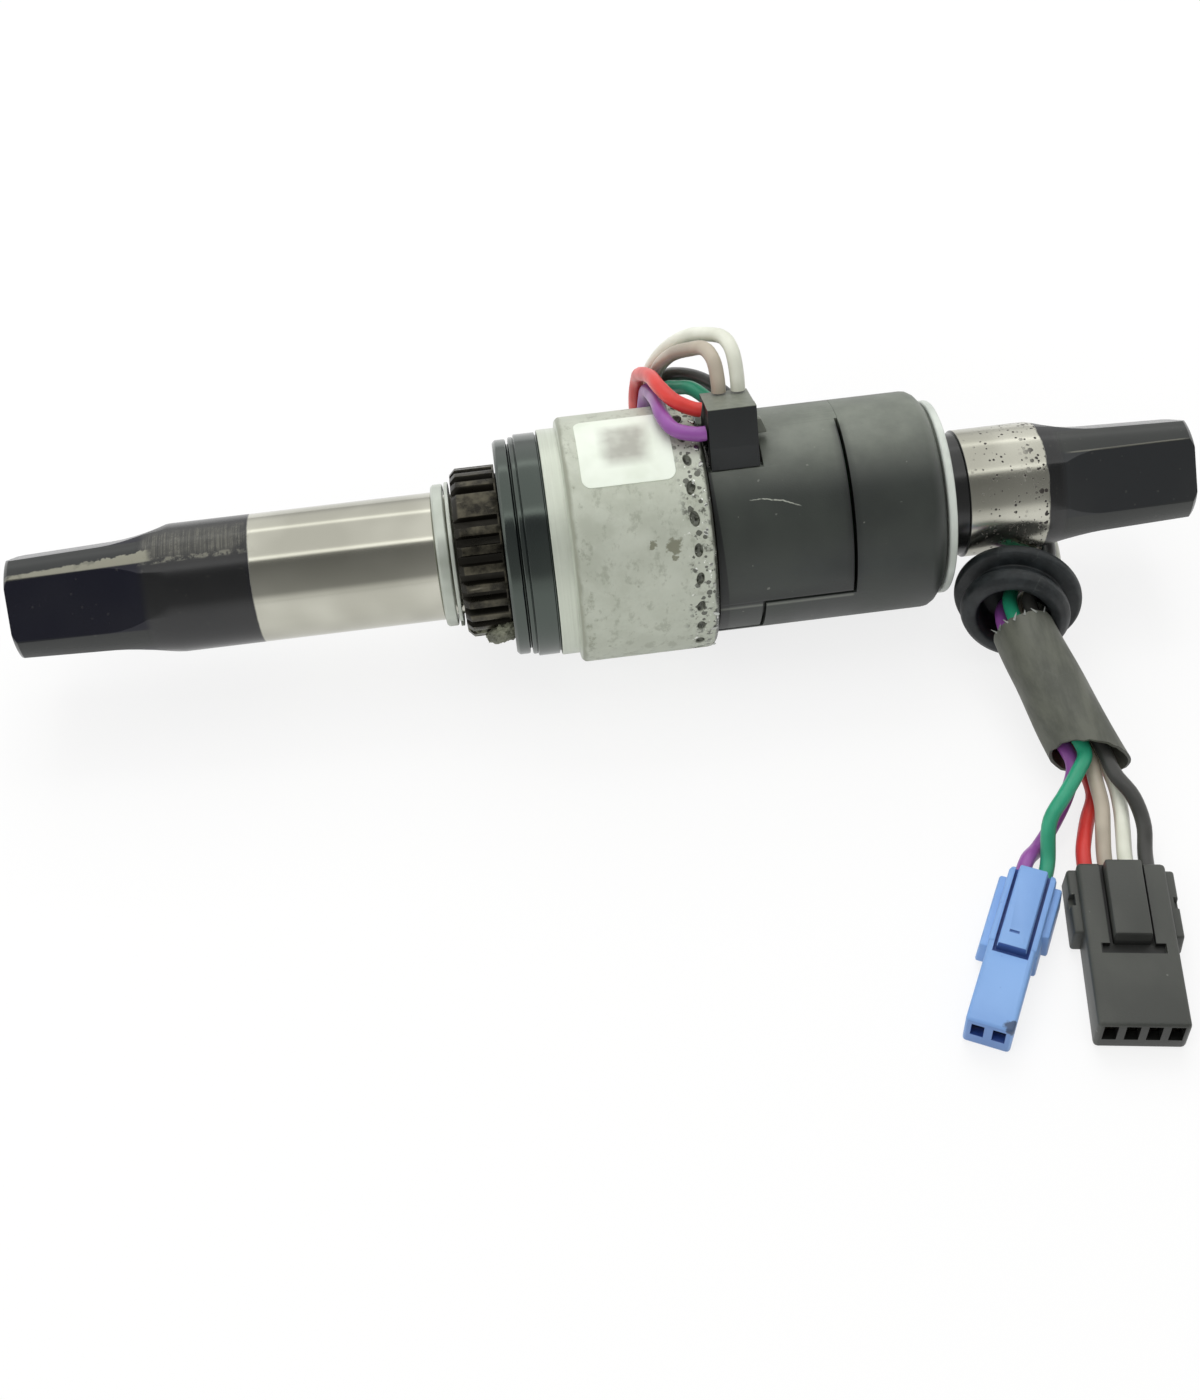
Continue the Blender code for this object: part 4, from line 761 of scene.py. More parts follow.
@dataclass(frozen=True)
class MouldedPlastic(Finish):
    """Moulded plastic with a fine grain, faint handling marks and dust."""

    # Dust colour; the exit block also paints its lit top face with it.
    dust_and_top_light: Color = (150, 152, 142)
    specks: float = 0.12
    scuffs: float = 0.24
    grain: float = 0.02
    gloss: float = 0.0

    def paint(self, graph: Graph) -> None:
        """Vary the plastic slowly and add marks, dust and grain."""
        slow = graph.noise(75.0, 3.0, 0.5, stretch=(1.6, 1.0, 1.0))
        marks = graph.group("scuffs", Vector=graph.stretch((0.35, 1.0, 1.0)), Scale=260.0, Amount=self.scuffs)[0]
        dusty_and_top_light = graph.most(graph.times(graph.specks(620.0, self.specks), 0.35), graph.times(marks, 0.12))
        spread = 1.0 - 0.7 * self.gloss
        rough = graph.span(slow, 0.3, 0.7, self.roughness - 0.05 * spread, self.roughness + 0.07 * spread)
        color = graph.layers(self.color, (graph.span(slow, 0.34, 0.68), self.second), (dusty_and_top_light, self.dust_and_top_light))
        graph.dress(Base_Color=color, Roughness=graph.plus(rough, graph.times(marks, 0.08), True),
                    IOR=1.5 + 0.4 * self.gloss,
                    Specular_Tint=(1 - 0.15 * self.gloss, 1.0, 1 - 0.12 * self.gloss))
        graph.bump(graph.group("grain", Scale=4200.0, Slow_Share=0.25)["Height"], self.grain)


@dataclass(frozen=True)
class CoverPlastic(MouldedPlastic):
    """The cover's plastic, with one pale scratch, a top painted paler as light from above, painted shade along its
    seams and its joint with the casting, and a painted highlight under the lid's seam.
    """

    # Colour of the scratch, also of the painted highlight under the lid's seam.
    scratch_and_highlight: Color = (176, 180, 168)
    # Painted light for the top, broken up with noise.
    dusty_and_top_light: Color = (136, 142, 130)
    # Painted shade beside the seams and along the joint with the casting.
    gap: Color = (14, 17, 17)

    def paint(self, graph: Graph) -> None:
        """Paint light along the top, paint shade beside the seams and along the joint, paint a highlight under the
        lid's seam and draw the scratch over the moulded plastic.
        """
        super().paint(graph)
        sector, span, times = graph.sector, graph.span, graph.times
        along, angle = graph.along(), graph.angle()
        share = graph.math("ABSOLUTE", graph.math("DIVIDE", graph.less(along, 0.0179), 0.0062))
        line = graph.plus(graph.less(54.5, times(graph.math("POWER", share, 2.2), 6.0)), graph.wander(2.4, 700.0, 2.0))
        mark = times(span(graph.apart(angle, line), 0.42, 0.12), graph.band(0.0180, 0.0240, 0.0006),
                     span(graph.noise(1500.0, 3.0, 0.7), 0.36, 0.5, 0.25, 0.85))
        # The top painted paler with noise: painted light from above.
        dust_and_top_light = times(span(angle, 52.0, 92.0), span(angle, 150.0, 110.0),
                     span(graph.noise(240.0, 4.0, 0.6), 0.2, 0.8, 0.6, 1.0), 0.72)
        # Painted shade: a shadow along the joint with the casting, wider towards the bottom, and soft shade beside the
        # lid's seams.
        joint = graph.less(span(angle, 75.0, -15.0, 0.01355, 0.01445), along)
        on_lid, beside = span(along, 0.0308, 0.0304), graph.apart(along, 0.03065)
        below = times(span(angle, 7.0, -3.0), span(angle, -4.6, -3.6), on_lid, 0.5)
        across = times(graph.most(times(span(beside, 0.00042, 0.00026), 0.85),
                                  times(span(beside, 0.0013, 0.0002), 0.45)), sector(-4.0, 94.0, 4.0))
        dark = graph.most(below, across, times(span(joint, 0.0, 0.0002), span(angle, 100.0, 60.0), 0.85),
                          times(sector(-4.4, -2.6, 1.0), span(along, 0.01905, 0.01890), 0.8))
        # The pale line under the lid's lengthwise seam is a painted highlight.
        graph.dress(Base_Color=graph.layers(
            graph.painted(), (dust_and_top_light, self.dusty_and_top_light), (dark, self.gap),
            (times(sector(-7.2, -5.6, 1.2), on_lid, 0.28), self.scratch_and_highlight), (mark, self.scratch_and_highlight)))


@dataclass(frozen=True)
class DustAndLitTop(MouldedPlastic):
    """The exit block's plastic, with dust, whose top face is painted paler as light falling on it."""

    top: float = 0.0185

    def paint(self, graph: Graph) -> None:
        """Paint light onto the top face and paint the rib paler."""
        super().paint(graph)
        # The top face painted in the dust colour with noise: painted light falling on it; the rib is painted paler.
        up = graph.vector("DOT_PRODUCT", graph.at, tuple(outward(BLOCK_AT)))[1]
        dust_and_top_light = graph.times(graph.span(up, self.top - 0.00012, self.top - 0.00003),
                           graph.span(graph.noise(900.0, 4.0, 0.6), 0.25, 0.75, 0.75, 1.0))
        beside = graph.span(graph.along(), 0.01985, 0.01995, 0.0, 0.75)
        graph.dress(Base_Color=graph.layers(graph.painted(), (graph.most(dust_and_top_light, beside), self.dust_and_top_light)))


@dataclass(frozen=True)
class Rubber(Finish):
    """Black rubber, dusty and scuffed, with pale torn places."""

    dust_and_top_light: Color = (104, 108, 102)
    streak: Point = (1.0, 1.0, 1.0)

    def paint(self, graph: Graph) -> None:
        """Dust the rubber unevenly and roughen it."""
        cloud = graph.noise(150.0, 4.0, 0.65)
        streaks = graph.noise(520.0, 4.0, 0.65, stretch=self.streak)
        marks = graph.group("scuffs", Scale=420.0, Amount=0.36)[0]
        dusty_and_top_light = graph.most(graph.times(graph.span(cloud, 0.56, 0.8), 0.4), graph.times(marks, 0.1))
        color = graph.layers(self.color, (graph.span(streaks, 0.34, 0.68), self.second), (dusty_and_top_light, self.dust_and_top_light))
        graph.dress(Base_Color=color,
                    Roughness=graph.span(cloud, 0.3, 0.7, self.roughness - 0.1, self.roughness + 0.1))
        graph.bump(graph.plus(graph.times(streaks, 0.6), graph.times(graph.noise(1800.0), 0.4)), 0.05)


@dataclass(frozen=True)
class Label(Finish):
    """A blank white label with a faint grey patch in its middle."""

    patch: Color = (150, 147, 138)

    def paint(self, graph: Graph) -> None:
        """Tint the label slightly and leave a soft plain patch."""
        tone = graph.span(graph.noise(160.0), 0.35, 0.7)
        patch = graph.times(graph.band(0.0003, 0.0058, 0.0018, 0.0008), graph.sector(78.5, 100.5, 6.5),
                            graph.span(graph.noise(330.0, 2.0), 0.35, 0.65, 0.55, 0.8))
        graph.dress(Base_Color=graph.layers(self.color, (tone, self.second), (patch, self.patch)))
        graph.bump(graph.noise(2400.0, 2.0), 0.01)


@dataclass(frozen=True)
class ConnectorPlastic(MouldedPlastic):
    """Moulded plastic with painted shade in its hollows and one stain, placed in the connector's own frame.

    Attributes:
        rear: Middle of the rear face in millimetres.
        turn: Turn about Z in degrees.
        hollow_shade: Painted shade inside the hollows.
        hollows: Boxes of painted shade as (middle, half size, how dark) in millimetres.
        stain: The stain's colour.
        stain_at: Where it is, in millimetres.
        stain_reach: Its radius, or 0 for none.
    """

    rear: Point = (0.0, 0.0, 0.0)
    turn: float = 0.0
    hollow_shade: Color = (20, 20, 20)
    hollows: tuple = ()
    stain: Color = (50, 60, 82)
    stain_at: Point = (0.0, 0.0, 0.0)
    stain_reach: float = 0.0

    def paint(self, graph: Graph) -> None:
        """Paint shade into the hollows and lay the stain over the plastic."""
        super().paint(graph)
        moved = graph.vector("SUBTRACT", graph.at, metres(self.rear))[0]
        local = graph.add("ShaderNodeVectorRotate", {"Vector": moved, "Angle": radians(-self.turn)},
                          rotation_type="Z_AXIS").outputs[0]
        boxes = [graph.times(graph.group("hollow", Vector=local, Middle=metres(middle), Half=metres(half))[0], share)
                 for middle, half, share in self.hollows]
        coats = [(graph.most(*boxes), self.hollow_shade)]
        if self.stain_reach:
            spot = graph.near(local, self.stain_at, graph.wander(0.0016, 900.0), self.stain_reach, 0.72)
            coats.append((graph.times(spot, 0.85), self.stain))
        graph.dress(Base_Color=graph.layers(graph.painted(), *coats))


# Rear middles and turns of the connectors
BLUE_REAR, BLUE_TURN = (45.1, -53.6, -14.05), -27.9
FOUR_REAR, FOUR_TURN = (55.6, -54.0, -14.05), -9.5

STEEL = SpindleSteel("spindle_steel", (201, 200, 188), (180, 179, 167), 0.28, 1.0)
PALE_RING = Finish("pale_ring", (196, 202, 192), (170, 176, 165), 0.36, 0.45)
SPLINES = SplineSteel("spline_steel", (36, 34, 28), (92, 88, 74), 0.35, 0.7)
GLOSS_BLACK = MouldedPlastic("gloss_black", (11, 13, 18), (18, 22, 24), 0.17, specks=0.1, scuffs=0.26, grain=0.004,
                             gloss=1.0)
GRIME = Finish("grime", (50, 51, 40), (124, 126, 108), 0.6)
CAST = Casting("cast_aluminium", (180, 185, 170), (192, 197, 183), 0.5, 0.4)
GLINT = Finish("burr_metal", (205, 208, 202), (150, 152, 146), 0.25, 1.0)
COVER = CoverPlastic("cover_plastic", (45, 49, 46), (54, 59, 54), 0.44)
BLOCK = DustAndLitTop("exit_block_plastic", (27, 30, 31), (38, 42, 41), 0.5, dust_and_top_light=(120, 124, 112), specks=0.1)
WHITE = Finish("white_washer", (214, 220, 212), (190, 196, 188), 0.42)
GROMMET = Rubber("grommet_rubber", (17, 21, 23), (34, 39, 41), 0.5)
TUBE = Rubber("sleeve_tubing", (74, 76, 68), (92, 94, 84), 0.52, streak=(1.0, 0.22, 1.0))
TORN = Rubber("torn_rubber", (96, 100, 96), (158, 162, 156), 0.5)
BLANK_LABEL = Label("blank_label", (234, 241, 228), (222, 230, 214), 0.5)
# Each connector's hollows are boxes of painted shade in its slits, holes, latch and front face.
BLUE = ConnectorPlastic(
    "blue_plastic", (116, 156, 212), (128, 168, 220), 0.4, dust_and_top_light=(88, 118, 184), specks=0.1, scuffs=0.2,
    rear=BLUE_REAR, turn=BLUE_TURN, hollow_shade=(30, 62, 140), stain_at=(2.75, -22.0, 2.3), stain_reach=1.15,
    hollows=(*(((x, -6.0, 2.75), (0.2, 6.3, 1.2), 0.9) for x in (-1.95, 1.95)),
             ((0.0, -12.3, 2.65), (2.15, 0.42, 1.0), 0.8), ((-0.2, -9.9, 3.45), (0.6, 0.2, 0.3), 0.6),
             *(((way, -22.0, 0.55), (0.77, 1.0, 1.12), 0.95) for way in (-1.25, 1.25)),
             ((0.0, -12.9, 0.0), (2.3, 8.3, 1.0), 0.95), ((0.0, -22.7, 0.0), (3.0, 0.15, 2.3), 0.3)))
BLACK = ConnectorPlastic(
    "black_plastic", (58, 60, 56), (70, 72, 67), 0.45, rear=FOUR_REAR, turn=FOUR_TURN, hollow_shade=(14, 15, 14),
    hollows=(((0.0, -6.3, 2.25), (2.7, 6.6, 0.42), 0.9), ((0.0, -12.2, 2.25), (3.75, 0.7, 0.42), 0.9),
             ((0.0, -11.6, 3.0), (2.4, 0.62, 1.1), 0.6), ((0.0, -22.7, 0.0), (5.3, 0.15, 2.2), 0.45),
             *(((way, -22.0, 0.75), (0.82, 1.0, 1.37), 0.95) for way in (-3.75, -1.25, 1.25, 3.75)),
             ((0.0, -12.9, 0.0), (4.8, 8.3, 1.0), 0.95)))
WIRES = {color: Finish(f"{color}_insulation", main, second, roughness) for color, main, second, roughness in (
    ("red", (222, 66, 58), (200, 52, 48), 0.36), ("purple", (148, 84, 160), (128, 68, 142), 0.36),
    ("green", (46, 158, 122), (34, 138, 104), 0.36), ("white", (234, 236, 222), (216, 218, 202), 0.38),
    ("beige", (190, 180, 162), (168, 158, 142), 0.38), ("black", (52, 52, 50), (66, 66, 63), 0.36))}
HIDDEN = (
    (Finish("bearing_steel", (176, 176, 172), (150, 150, 146), 0.25, 1.0),
     ("left_bearing_inner", "left_bearing_outer", "left_ball_cage", "right_bearing_inner", "right_bearing_outer",
      "right_ball_cage", "right_snap_ring", "flux_shield")),
    (Finish("bobbin_plastic", (46, 46, 44), (58, 58, 55), 0.5), ("coil_bobbin",)),
    (Finish("copper_winding", (196, 118, 70), (160, 84, 44), 0.35, 1.0), ("excitation_coil", "pickup_coil")),
    (Finish("board_mask", (28, 92, 52), (20, 70, 40), 0.45), ("circuit_board",)),
    (Finish("magnet_ferrite", (60, 60, 62), (46, 46, 48), 0.5, 0.2), ("magnet_ring",)),
    (Finish("tinned_terminal", (190, 186, 170), (150, 146, 130), 0.3, 1.0),
     tuple(f"terminal_{color}" for color in WIRES)))


@dataclass
class Studio:
    """Camera, light and table as in the photograph."""

    eye: Vector = Vector((-13.322, -178.465, 179.401))
    right: Vector = Vector((0.99166641, -0.11902, -0.04931506))
    down: Vector = Vector((-0.12281559, -0.75774164, -0.64089308))
    ahead: Vector = Vector((0.03891102, 0.64160879, -0.76604444))
    lens: float = 56.76
    table: float = -16.57

    def camera(self) -> None:
        """Set up the camera."""
        data = bpy.data.cameras.new("camera")
        data.sensor_fit = "HORIZONTAL"
        data.sensor_width = 36.0
        data.lens = self.lens
        data.clip_start = 0.005
        camera = Bench.placed("camera", data)
        turn = Matrix((self.right, -self.down, -self.ahead)).transposed().to_4x4()
        camera.matrix_world = Matrix.Translation(self.eye * MM) @ turn
        bpy.context.scene.camera = camera

    def floor(self) -> None:
        """Lay the pale table."""
        table = Bench.shape("table", bpy.ops.mesh.primitive_plane_add, size=6.0, location=(0, 0, self.table * MM))
        made = bpy.data.materials.new("table")
        made.use_nodes = True
        graph = Graph(made.node_tree)
        graph.dress(Base_Color=(0.93, 0.93, 0.92), Roughness=0.9, Specular_IOR_Level=0.0)
        glow = graph.add("ShaderNodeEmission", {"Color": (1.0, 1.0, 1.0), "Strength": 1.0})
        rays = graph.add("ShaderNodeLightPath").outputs
        seen = graph.most(graph.times(rays["Is Camera Ray"], 0.80), graph.times(rays["Is Glossy Ray"], 0.6))
        plain = made.node_tree.nodes["Principled BSDF"].outputs[0]
        mixed = graph.add("ShaderNodeMixShader", {0: seen, 1: plain, 2: glow.outputs[0]})
        graph.feed(made.node_tree.nodes["Material Output"].inputs[0], mixed.outputs[0])
        table.data.materials.append(made)

    def lights(self) -> None:
        """Light the room softly, with a bright ceiling and a dim side behind the camera."""
        world = bpy.context.scene.world = bpy.data.worlds.new("room")
        world.use_nodes = True
        graph = Graph(world.node_tree)
        _, across, up = graph.split(graph.add("ShaderNodeTexCoord").outputs["Generated"])
        turn = graph.math("DIVIDE", graph.math("ARCTAN2", up, graph.times(across, -1.0)), 2 * pi)
        ramp = graph.add("ShaderNodeValToRGB", {0: graph.plus(turn, 0.5)})
        stops = [(-180, 0.6), (-90, 0.75), (-20, 0.85), (4, 0.85), (14, 0.36), (40, 0.28), (66, 0.21), (75, 0.24),
                 (77.5, 2.0), (80.5, 2.0), (83, 1.0), (133, 0.98), (135.5, 1.9), (139, 1.9), (142, 1.05),
                 (165, 0.95), (180, 0.6)]
        elements = ramp.color_ramp.elements
        while len(elements) > 1:
            elements.remove(elements[-1])
        for k, (degrees, level) in enumerate(stops):
            place = degrees / 360 + 0.5
            element = elements[0] if k == 0 else elements.new(place)
            element.position = place
            element.color = (level, level, level * 0.985, 1.0)
        rays = graph.add("ShaderNodeLightPath").outputs
        color: object = (0.52, 0.52, 0.52)
        for mask, over in ((rays["Is Glossy Ray"], ramp.outputs[0]),
                           (graph.most(rays["Is Camera Ray"], rays["Is Transmission Ray"]), (1.0, 1.0, 1.0))):
            color = graph.add("ShaderNodeMix", {0: mask, 6: color, 7: over}, data_type="RGBA").outputs[2]
        graph.feed(world.node_tree.nodes["Background"].inputs["Color"], color)
        for name, at, size, power in (("ceiling", (0.0, 0.12, 0.75), 0.7, 2.1),
                                      ("window", (-0.5, -0.35, 0.45), 0.4, 1.0),
                                      ("softbox", (0.05, 0.52, 0.62), 0.5, 2.2)):
            data = bpy.data.lights.new(name, "AREA")
            data.energy = power
            data.size = size
            lamp = Bench.placed(name, data)
            lamp.visible_glossy = False
            place = Vector(at)
            lamp.matrix_world = Matrix.Translation(place) @ place.to_track_quat("Z", "Y").to_matrix().to_4x4()

    def build(self) -> None:
        """Set up the whole studio."""
        self.camera()
        self.floor()
        self.lights()
        bpy.context.scene.view_settings.view_transform = "Standard"


@dataclass
class Plug:
    """A connector, drawn in its own frame: X across its ways, -Y out of its front, at its rear face."""

    name: str
    rear: Point
    turn: float
    ways: int
    pitch: float = 2.5
    side: float = 0.3
    height: float = 5.0
    length: float = 22.6

    @property
    def half_width(self) -> float:
        """Half the connector's width."""
        return self.ways * self.pitch / 2 + self.side

    def frame(self) -> Matrix:
        """Give the connector's frame in metres."""
        return Matrix.Translation(metres(self.rear)) @ Matrix.Rotation(radians(self.turn), 4, "Z")

    def across(self, way: int) -> float:
        """Give how far a way lies from the middle."""
        return (way - (self.ways - 1) / 2) * self.pitch

    def way_point(self, way: int, depth: float) -> Vector:
        """Give a point on a way's middle line at a depth behind the rear face, in millimetres."""
        turn = Matrix.Rotation(radians(self.turn), 3, "Z")
        return Vector(self.rear) + turn @ Vector((self.across(way), -depth, 0))

    def put(self, size: Point, at: Point, top: Pair = (1.0, 1.0)) -> Piece:
        """Add a block with its middle at a place in the connector's frame."""
        return Bench.block("block", size, self.frame() @ shift(*at), top)

    def make(self, corner: float, steps: list[tuple], mouth: tuple[float, float, float], finish: Finish,
             node: str) -> Piece:
        """Make the connector.

        Args:
            corner: Rounding of its plain block.
            steps: Blocks as (size, place), which are cut out, or as (size, place, top, rounding), which are joined.
            mouth: Width and height of a way's mouth, and how far its middle lies above the way's.
            finish: Its finish.
            node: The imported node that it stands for.

        Returns:
            The finished connector.
        """
        piece = self.put((2 * self.half_width, self.length, self.height), (0, -self.length / 2, 0))
        Bench.ease(piece, corner, 3)
        for size, at, *joined in steps:
            part = self.put(size, at, *joined[:1])
            if joined:
                Bench.ease(part, *joined[1])
            Bench.cut(piece, part, "UNION" if joined else "DIFFERENCE")
        for way in range(self.ways):
            across = self.across(way)
            Bench.cut(piece, self.put((mouth[0], 3.0, mouth[1]), (across, -self.length, mouth[2])))
            Bench.cut(piece, self.put((1.9, self.length - 5.4, 1.9), (across, -self.length / 2 - 1.5, 0)))
            hole = Bench.shape("hole", bpy.ops.mesh.primitive_cylinder_add, vertices=32, radius=1.15 * MM,
                               depth=10 * MM)
            hole.data.transform(self.frame() @ shift(across, 0, 0) @ Matrix.Rotation(pi / 2, 4, "X"))
            Bench.cut(piece, hole)
        Bench.ease(piece, 0.06, 1, 40)
        piece.name = self.name
        return Bench.hand_over(piece, Body.HOUSING, finish, finish.name, node, smooth=40)


class Plugs:
    """The two connectors: a slim blue one and a wide black one."""

    def __init__(self) -> None:
        """Draw up both connectors."""
        self.blue = Plug("blue_connector", BLUE_REAR, BLUE_TURN, 2)
        self.black = Plug("black_connector", FOUR_REAR, FOUR_TURN, 4)
        self.pieces: dict[str, Piece] = {}

    def build(self) -> None:
        """Make the blue one with its flanged rear and slit latch, and the black one with its ears."""
        width, top = 2 * self.blue.half_width, self.blue.height / 2
        taper, soft = (0.94, 0.97), (0.3, 2)
        self.pieces[self.blue.name] = self.blue.make(0.45, [
            ((width + 1.7, 10.8, 3.6), (-0.35, -6.4, -0.35), taper, soft),
            ((width + 1.3, 7.6, 3.9), (0.55, -4.8, -0.2), taper, soft),
            ((width + 0.5, 11.2, self.blue.height - 0.4), (0, -5.9, 0.35), taper, soft),
            ((3.5, 11.9, 1.9), (0, -6.1, top - 0.1), (0.96, 0.99), (0.22, 2)),
            ((0.36, 12.4, 1.9), (-1.95, -6.0, top + 0.2)), ((0.36, 12.4, 1.9), (1.95, -6.0, top + 0.2)),
            ((4.2, 0.75, 1.7), (0, -12.3, top + 0.15)), ((1.1, 0.35, 0.5), (-0.2, -9.9, top + 0.95)),
        ], (1.5, 2.2, 0.55), BLUE, "two_pin_connector")
        half = self.black.half_width
        ears = [step for side, reach in ((-1, 9.4), (1, 9.9)) for step in (
            ((3.0, reach, 3.7), (side * (half - 0.25), -reach / 2 - 0.3, -0.3), (0.9, 0.97), (0.4, 3)),
            ((1.3, 1.6, 2.4), (side * (half + 1.15), -reach * 0.52, 1.6)))]
        self.pieces[self.black.name] = self.black.make(0.6, [
            *ears, ((5.3, 13.2, 1.2), (0, -6.2, top)), ((7.4, 1.3, 1.2), (0.1, -12.2, top)),
            ((4.5, 11.4, 2.7), (0, -5.8, top + 0.05), (0.96, 0.93), (0.25, 2)),
        ], (1.6, 2.7, 0.75), BLACK, "four_pin_connector")


@dataclass
class Harness:
    """The six wires with their sleeve and grommet, lying on the table."""

    wire_radius: float = 0.95
    pitch: float = 2.2
    twist: float = 36.0
    step: float = 4.0
    fine_step: float = 0.8
    block_inset: float = 0.5
    block_front: float = 9.9
    block_depth: float = 7.9
    block_top: float = 18.5
    gap: float = 0.3
    entry: float = 2.5
    clear: float = 3.0
    tube_length: float = 20.0
    tube_start: float = 4.15
    tube_end: float = 4.6
    tube_wall: float = 0.4
    tube_slant: float = 0.5

    slots = {"purple": 234, "red": 162, "white": 90, "black": 18, "green": 306}
    route = [(9.4, 20.95, 7.6), (9.2, 23.2, 1.0), (10.4, 24.6, -5.6), (14.5, 25.6, -11.0), (21.5, 26.0, -12.9),
             (34.0, 25.3, -12.9), (46.0, 20.8, -12.9), (56.0, 12.5, -12.9), (60.3, 3.5, -12.9), (59.3, -4.0, -12.5),
             (56.6, -9.4, -10.6), (53.3, -13.9, -8.5), (52.7, -18.7, -7.9), (53.7, -24.5, -8.9),
             (55.0, -31.0, -10.3), (56.4, -38.0, -11.5)]
    ends = {"green": [(53.6, -41.4, -9.6), (51.3, -44.2, -10.0), (48.8, -47.0, -11.3)],
            "purple": [(52.7, -41.8, -13.2), (50.1, -45.2, -14.7), (47.4, -48.2, -15.1)],
            "red": [(56.2, -41.8, -14.3), (54.6, -45.0, -14.7), (53.2, -48.2, -14.3)],
            "beige": [(56.3, -41.8, -12.0), (56.1, -45.0, -12.4), (55.4, -48.2, -13.2)],
            "white": [(58.8, -41.8, -12.8), (58.6, -45.0, -13.3), (58.0, -48.2, -13.7)],
            "black": [(58.3, -41.8, -10.2), (59.8, -45.0, -11.0), (60.4, -48.4, -12.6)]}
    blue_ways = ("purple", "green")
    black_ways = ("red", "beige", "white", "black")
    grommet_at = Vector((52.9, -14.0, -7.8))
    grommet_axis = Vector((-0.36, -0.93, 0.10)).normalized()

    def on_block(self, along: float, front: float, up: float) -> Vector:
        """Give a point in the exit block's own turned frame, in millimetres."""
        return around(COVER_START + self.block_inset + along, up, BLOCK_AT) + outward(BLOCK_AT - 90) * front

    def starts(self) -> dict[str, list[Vector]]:
        """Give each wire's points from the exit block to where the wires run together."""
        top, gap = self.block_top + self.gap, self.gap
        back = self.block_front - self.block_depth - gap
        # Points in the block's frame, then points as (place along X, radius, angle)
        shapes = {
            "purple": ([(-gap, 8.9, 15.3), (-1.3, 8.9, 15.3)],
                       [(9.6, 17.8, 88.3), (8.4, 17.8, 97.5), (8.2, 17.8, 111), (8.1, 17.8, 126), (8.1, 18.3, 138),
                        (8.1, 19.5, 150)]),
            "red": ([(-gap, 5.6, 17.4), (-1.2, 5.5, 17.6)],
                    [(10.1, 19.5, 99.8), (8.6, 20.2, 107.5), (8.0, 20.4, 119), (7.6, 20.5, 132), (7.3, 21.4, 146)]),
            "green": ([(2.0, back, 16.6), (1.6, back - 1.6, 16.8)],
                      [(13.3, 18.1, 124), (11.8, 18.4, 136), (10.8, 19.3, 148)]),
            "black": ([(4.6, back, 16.6), (4.4, back - 1.8, 16.7)],
                      [(16.4, 18.0, 127), (14.5, 19.6, 139), (12.6, 21.4, 151)]),
            "white": ([(4.9, 3.2, top), (4.9, 3.2, top + 1.6), (4.7, 2.0, 23.4), (4.1, -0.8, 24.6)],
                      [(16.2, 24.8, 124.8), (13.9, 25.0, 136), (11.4, 24.8, 148)]),
            "beige": ([(2.4, 3.2, top), (2.4, 3.2, top + 1.2), (2.2, 2.1, 22.5), (1.4, -0.6, 23.6)],
                      [(13.4, 23.2, 124), (11.5, 22.8, 136), (10.1, 22.4, 148)])}
        return {color: [self.on_block(*point) for point in near]
                + [around(along + HALF, radius, degrees) for along, radius, degrees in over]
                for color, (near, over) in shapes.items()}

    @staticmethod
    def smooth(points: list, spacing: float) -> list[Vector]:
        """Give evenly spaced points along a smooth curve through the given ones.

        Args:
            points: Points in millimetres.
            spacing: Distance between the points that are given back.

        Returns:
            The evenly spaced points.
        """
        route = [Vector(p) for p in points]
        padded = [2 * route[0] - route[1]] + route + [2 * route[-1] - route[-2]]
        dense: list[Vector] = []
        fine = 24
        for k in range(1, len(padded) - 2):
            a, b, c, d = padded[k - 1:k + 3]
            t1 = sqrt((b - a).length)
            t2 = t1 + sqrt((c - b).length)
            t3 = t2 + sqrt((d - c).length)
            for step in range(fine):
                t = t1 + (t2 - t1) * step / fine
                ab, bc, cd = a.lerp(b, t / t1), b.lerp(c, (t - t1) / (t2 - t1)), c.lerp(d, (t - t2) / (t3 - t2))
                abc, bcd = ab.lerp(bc, t / t2), bc.lerp(cd, (t - t1) / (t3 - t1))
                dense.append(abc.lerp(bcd, (t - t1) / (t2 - t1)))
        dense.append(route[-1])
        lengths = [0.0]
        for before, after in zip(dense, dense[1:]):
            lengths.append(lengths[-1] + (after - before).length)
        count = max(2, round(lengths[-1] / spacing))
        even, at = [], 0
        for k in range(count + 1):
            want = lengths[-1] * k / count
            while at < len(dense) - 2 and lengths[at + 1] < want:
                at += 1
            share = (want - lengths[at]) / (lengths[at + 1] - lengths[at])
            even.append(dense[at].lerp(dense[at + 1], min(1.0, share)))
        return even

    def lanes(self) -> dict[str, list[Vector]]:
        """Give each wire's points while the six run together, five of them round the beige one."""
        middle = self.smooth(self.route, self.step)
        tangents = [(after - before).normalized() for before, after in zip(middle, middle[1:])]
        tangents.append(tangents[-1])
        side = (X_AXIS - tangents[0] * X_AXIS.dot(tangents[0])).normalized()
        lanes: dict[str, list[Vector]] = {color: [] for color in WIRES}
        for k, point in enumerate(middle):
            if k:
                side = tangents[k - 1].rotation_difference(tangents[k]) @ side
            up = side.cross(tangents[k])
            for color, lane in lanes.items():
                if color not in self.slots:
                    lane.append(point.copy())
                    continue
                angle = radians(self.slots[color] + self.twist * k / (len(middle) - 1))
                lane.append(point + (side * cos(angle) + up * sin(angle)) * self.pitch)
        return lanes

